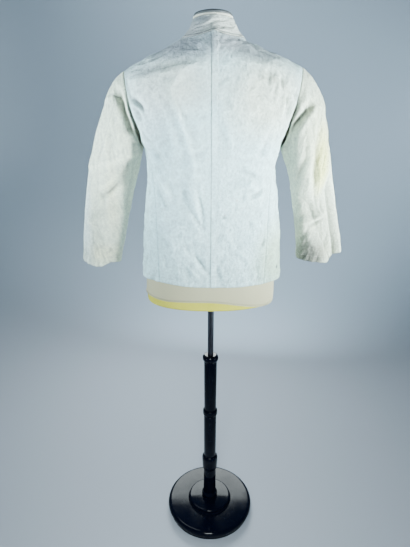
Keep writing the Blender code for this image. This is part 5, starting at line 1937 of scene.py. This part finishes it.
# %% Lines on the finished cloth
THREAD_LIFT = 0.00010
PITCH = 0.0027
NECK_ROWS = (0.0018, NECK_BAND - 0.001)
FELLED_ROWS = (0.0014, 0.0128)
CUFF_ROWS = (0.0030, CUFF_WIDTH - 0.0015)
SLEEVE_SEAM_ROW = 0.0020
SLEEVE_SEAM_START = 12


def along_distance(name, key, distance):
    """A line across a piece's columns, this far from an edge that its distances are kept for."""
    grid = grids[name]
    away = grid[key] if key in grid else grid["flat"][..., 1]
    points = []
    for k in range(away.shape[1]):
        order = slice(None, None, -1) if away[0, k] > away[-1, k] else slice(None)
        place = np.interp(distance, away[order, k], np.arange(away.shape[0])[order])
        points.append(between_rows(grid, place, k))
    return np.array(points)


def between_rows(grid, place, k):
    """A point of a column between two of its rows, lifted off the cloth."""
    low = int(np.clip(math.floor(place), 0, grid["outer"].shape[0] - 2))
    share = place - low
    point = mix(grid["outer"][low, k], grid["outer"][low + 1, k], share)
    return point + grid["normal"][low, k] * THREAD_LIFT


def down_piece(name, distance, from_last=False, rows=slice(None)):
    """A line down a piece's rows, this far from its first or last column."""
    grid = grids[name]
    points = []
    for j in range(grid["outer"].shape[0])[rows]:
        away = grid["flat"][j, :, 0]
        away = away[-1] - away if from_last else away
        order = slice(None, None, -1) if from_last else slice(None)
        place = float(np.interp(distance, away[order], np.arange(len(away))[order]))
        low = min(int(place), len(away) - 2)
        point = mix(grid["outer"][j, low], grid["outer"][j, low + 1], place - low)
        points.append(point + grid["normal"][j, low] * THREAD_LIFT)
    return np.array(points)


body_rows = []
for name in body_cloth:
    for distance in STITCH_FROM_HEM:
        body_rows.append(along_distance(name, "hem", distance))
    armhole_rows = slice(int(np.searchsorted(grids[name]["row"], HEM_ROWS)), None)
    for distance in STITCH_FROM_SEAM:
        body_rows.append(down_piece(name, distance, True, armhole_rows))
    corner = len(NECK_STATIONS[grids[name]["side"], grids[name]["face"]]) - 1
    neck_columns = int(np.searchsorted(grids[name]["column"], corner))
    for distance in NECK_ROWS:
        body_rows.append(along_distance(name, "top", distance)[:neck_columns])
for distance in FELLED_ROWS:
    body_rows.append(down_piece("back_right_cloth", distance))
body_rows.append(down_piece("front_left_cloth", FRONT_EDGE_STITCH))
side_rows = slice(0, int(np.searchsorted(grids["back_left_cloth"]["row"], HEM_ROWS)))
for name in ("back_left_cloth", "back_right_cloth"):
    body_rows.append(down_piece(name, STITCH_FROM_SEAM[1], True, side_rows))
print("body stitch rows:", len(body_rows))

# %% Set the stitches
sleeve_rows = []
for name in sleeve_cloth:
    for distance in CUFF_ROWS:
        sleeve_rows.append(along_distance(name, "cuff", distance))
    if "top" in name:
        sleeve_rows.append(down_piece(name, SLEEVE_SEAM_ROW, True, slice(SLEEVE_SEAM_START, None)))
ends = (3, len(collar_outer) - 4)
collar_rows = [collar_outer[k] + collar_outward[k] * THREAD_LIFT for k in ends]
stitches = {}
for word, rows in (("body", body_rows), ("sleeve", sleeve_rows), ("collar", collar_rows)):
    name, values = word + "_stitches", {"Pitch": PITCH, "Material": thread}
    stitches[name] = run_tree(stitch_tree, line_object(rows), name, values)
    print(name, len(stitches[name].data.polygons), "faces")

# %% [markdown]
# ## Buttons
# Five plain four-hole buttons close the front. One is modelled, with its holes cut through and a
# cross of thread, and set down five times where the CAD's buttons are. Under each, the thread
# edging of the buttonhole shows at both sides.

# %% Make the buttons
BUTTON_RADIUS = 0.0095
BUTTON_THICKNESS = 0.0032
BUTTON_HEIGHTS = (1.392, 1.290, 1.188, 1.086, 0.984)
HOLE_RADIUS = 0.0009
HOLE_PLACE = 0.0020
DRILL_DEPTH, DRILL_HEIGHT = 0.01, 0.002
CROSS_HEIGHT = BUTTON_THICKNESS * 0.58
CROSS_REACH, CROSS_RISE, CROSS_RADIUS = 1.1, 0.0003, 0.0004
SLIT_HALF, SLIT_EDGE, SLIT_HEIGHT = 0.012, 0.0013, -0.0006
EDGING = {"Pitch": 0.0009, "Stitch": 0.0010, "Thread": 0.0007, "Material": thread}


def button_blank():
    """A turned disc with a sunken middle and four holes."""
    radius, thick = BUTTON_RADIUS, BUTTON_THICKNESS
    profile = [
        (0, 0), (radius * 0.86, 0), (radius * 0.96, thick * 0.15), (radius, thick * 0.42),
        (radius * 0.98, thick * 0.75), (radius * 0.90, thick * 0.98), (radius * 0.80, thick * 0.95),
        (radius * 0.68, thick * 0.66), (radius * 0.40, thick * 0.58), (0, thick * 0.56),
    ]
    blank = lathe("button_blank", profile, button_cream, 48)
    drill = bmesh.new()
    for k in range(4):
        turn = math.radians(45 + 90 * k)
        size = {"radius1": HOLE_RADIUS, "radius2": HOLE_RADIUS, "depth": DRILL_DEPTH}
        made = bmesh.ops.create_cone(drill, cap_ends=True, segments=12, **size)
        place = (HOLE_PLACE * math.cos(turn), HOLE_PLACE * math.sin(turn), DRILL_HEIGHT)
        bmesh.ops.translate(drill, verts=made["verts"], vec=place)
    mesh = bpy.data.meshes.new("drill")
    drill.to_mesh(mesh)
    drill.free()
    cutter = add_object("drill", mesh)
    cut = blank.modifiers.new("holes", "BOOLEAN")
    cut.operation, cut.object, cut.solver = "DIFFERENCE", cutter, "EXACT"
    graph = bpy.context.evaluated_depsgraph_get()
    found = bpy.data.meshes.new_from_object(blank.evaluated_get(graph), depsgraph=graph)
    bpy.data.objects.remove(blank)
    bpy.data.objects.remove(cutter)
    return found


def front_normal(height):
    """The direction that the closed front faces at its centre, at a height."""
    grid = grids["front_left_cloth"]
    away = np.abs(grid["outer"][..., 0]) + np.abs(grid["outer"][..., 2] - height)
    return Vector(grid["normal"][np.unravel_index(np.argmin(away), away.shape)])


def cross_thread(angle):
    """A thread over the web between two holes."""
    along, across = math.cos(math.radians(angle)), math.sin(math.radians(angle))
    reach = HOLE_PLACE * CROSS_REACH
    places = [(s, CROSS_HEIGHT + CROSS_RISE * (1 - abs(s))) for s in (-1, -0.5, 0.5, 1)]
    return [(s * reach * along, s * reach * across, height) for s, height in places]


def slit_outline():
    """The two sides of a buttonhole, out along one and back along the other."""
    run = np.linspace(-SLIT_HALF, SLIT_HALF, 14)
    return [(x, SLIT_EDGE * s, SLIT_HEIGHT) for s in (1, -1) for x in run[::s]]


blank = button_blank()
buttons, button_crosses, hole_edges = [], [], []
for k, height in enumerate(BUTTON_HEIGHTS):
    low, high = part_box(f"button_{k + 1}")
    normal = front_normal(height)
    turn = normal.to_track_quat("Z", "Y").to_matrix().to_4x4()
    turn.translation = (low + high) / 2 - normal * BUTTON_THICKNESS / 2
    mesh = blank.copy()
    mesh.transform(turn)
    buttons.append(add_object(f"cream_button_{k + 1}", mesh))
    for angle in (45, 135):
        button_crosses.append(np.array([turn @ Vector(place) for place in cross_thread(angle)]))
    hole_edges.append(np.array([turn @ Vector(place) for place in slit_outline()]))
values = {"Radius": CROSS_RADIUS, "Sides": 5, "Material": thread}
button_thread = run_tree(bead_tree, line_object(button_crosses), "button_thread", values)
buttonholes = run_tree(stitch_tree, line_object(hole_edges, True), "buttonhole_edging", EDGING)
print("buttons:", len(buttons), "buttonhole stitch faces:", len(buttonholes.data.polygons))

# %% [markdown]
# ## Backdrop and light
# The photograph was taken in a plain pale blue-grey studio with soft light from both sides, stronger
# on the right. Those lights graze the cloth, which brings out its low crumple, and two narrow ones
# lift the inner sides of the sleeves. Wall and floor have lights of their own. A round bowl serves
# as floor and backdrop from every side.

# %% Make the backdrop
FLOOR_RADIUS = 1.0
BOWL_RADIUS = 1.9
WALL_TOP = 4.5


def backdrop_material():
    made, tree, shader = new_material("backdrop", 0.9)
    tones = group_node(tree, blotches, Size=1.4, Amount=0.10, Detail=1.0)
    colour_with(tree, shader, tinted(tree, (0.36, 0.40, 0.465), tones.outputs["Tone"]))
    return made


bowl_profile = [(0, 0), (FLOOR_RADIUS, 0)] + arc(FLOOR_RADIUS, BOWL_RADIUS, BOWL_RADIUS, -87, 0, 30)
bowl_profile += [(FLOOR_RADIUS + BOWL_RADIUS, WALL_TOP)]
backdrop = lathe("backdrop", bowl_profile, backdrop_material(), 96)
backdrop.data.flip_normals()
print("backdrop faces:", len(backdrop.data.polygons))

# %% Light the scene


def soft_light(name, place, aim, size, power, spread_angle, colour):
    """A rectangular light that faces a point and that the camera doesn't see."""
    data = bpy.data.lights.new(name, "AREA")
    data.shape, data.size, data.size_y = "RECTANGLE", *size
    data.energy, data.color, data.spread = power, colour, math.radians(spread_angle)
    made = add_object(name, data)
    made.location = place
    made.visible_camera = False
    made.rotation_euler = (Vector(aim) - Vector(place)).to_track_quat("-Z", "Y").to_euler()


COOL = (0.78, 1.0, 1.08)
WHITE = (0.82, 1.0, 1.02)
NEUTRAL = (0.90, 1.0, 1.0)
soft_light("key_right", (-1.95, 1.10, 0.75), (-0.17, 0.05, 1.21), (0.35, 0.35), 8.4, 34, WHITE)
soft_light("side_right", (-2.05, 0.70, 0.95), (-0.16, 0.05, 1.19), (0.35, 0.35), 2.8, 36, WHITE)
soft_light("camera_fill", (-0.45, 2.40, 0.70), (-0.02, 0.05, 1.12), (0.6, 0.6), 1.4, 40, WHITE)
soft_light("key_left", (2.05, 1.00, 0.75), (0.18, 0.05, 1.14), (0.35, 0.35), 2.8, 31, COOL)
soft_light("side_left", (1.95, 0.70, 1.35), (0.26, 0.03, 1.28), (0.35, 0.35), 1.2, 16, COOL)
soft_light("sleeve_fill_left", (-0.70, 2.20, 1.00), (0.27, 0.03, 1.08), (0.3, 0.3), 0.13, 11, WHITE)
soft_light("sleeve_fill_right", (0.90, 2.20, 1.00), (-0.26, 0.03, 1.15), (0.3, 0.3), 0.20, 10, WHITE)
soft_light("front_fill", (0, -1.9, 1.6), (0, 0, 1.1), (1.2, 0.9), 41, 120, NEUTRAL)
soft_light("wall_low", (-0.1, -0.9, 0.65), (-0.4, -2.9, 0.8), (0.8, 0.5), 17, 165, COOL)
soft_light("wall_middle", (-1.3, -0.9, 1.7), (-0.6, -2.6, 1.3), (0.6, 0.6), 19, 140, COOL)
soft_light("wall_left", (1.2, -0.8, 1.3), (1.3, -2.4, 1.1), (0.6, 0.6), 2.4, 140, COOL)
soft_light("wall_high", (0.0, -1.6, 2.6), (0.0, -2.9, 2.6), (1.2, 0.4), 10.3, 150, COOL)
soft_light("floor_far", (0.5, -0.7, 1.9), (0.35, -1.1, 0), (0.6, 0.6), 6.5, 100, NEUTRAL)
soft_light("floor_near", (0.1, 1.5, 1.7), (0.05, 0.35, 0), (0.5, 0.5), 5.2, 60, NEUTRAL)

world = bpy.data.worlds.new("studio")
bpy.context.scene.world = world
world.use_nodes = True
background = world.node_tree.nodes["Background"]
background.inputs["Color"].default_value = (0.72, 0.80, 0.92, 1)
background.inputs["Strength"].default_value = 0.01

# %% [markdown]
# Each piece rides on a body of the frame and stands for the CAD solid it replaces, which is hidden.
# A table gives the size that each of the jacket's pieces was cut to.

# %% Cloth pieces
CUTS = {
    # node: width and length of the cut, its flat area
    "back_left": (0.280, 0.640, 0.1160),
    "back_right": (0.290, 0.640, 0.1220),
    "front_left": (0.400, 0.650, 0.1900),
    "front_right": (0.400, 0.650, 0.1900),
    "sleeve_left_top": (0.240, 0.525, 0.0890),
    "sleeve_left_under": (0.250, 0.490, 0.0690),
    "sleeve_right_top": (0.280, 0.520, 0.0960),
    "sleeve_right_under": (0.230, 0.455, 0.0560),
    "collar": (0.540, 0.060, 0.0230),
}


def declare(piece, replaced, body="form"):
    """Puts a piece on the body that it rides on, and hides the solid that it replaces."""
    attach(piece, body)
    if replaced:
        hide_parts(replaced)


for cut_name, (width, length, area) in CUTS.items():
    if cut_name == "collar":
        piece, finish = collar, collar_cotton
    elif cut_name.startswith("sleeve"):
        piece, finish = sleeve_cloth[cut_name + "_cloth"], sleeve_cotton
    else:
        piece, finish = body_cloth[cut_name + "_cloth"], body_cotton
    piece.data.materials.append(finish)
    declare(piece, cut_name)

jersey.data.materials.append(knit_jersey)
declare(jersey, "form_cover")
foam.data.materials.append(yellow_foam)
declare(foam, "form_foam")
print("cloth pieces:", len(CUTS) + 1)

# %% Hard pieces and trim
for node_name, piece in hard_pieces.items():
    declare(piece, node_name, "stand" if node_name.startswith("stand") else "form")
for k, piece in enumerate(buttons):
    declare(piece, f"button_{k + 1}")
for piece in (hem_bead, neck_bead):
    declare(piece, None)
for piece in (*stitches.values(), button_thread, buttonholes):
    declare(piece, None)
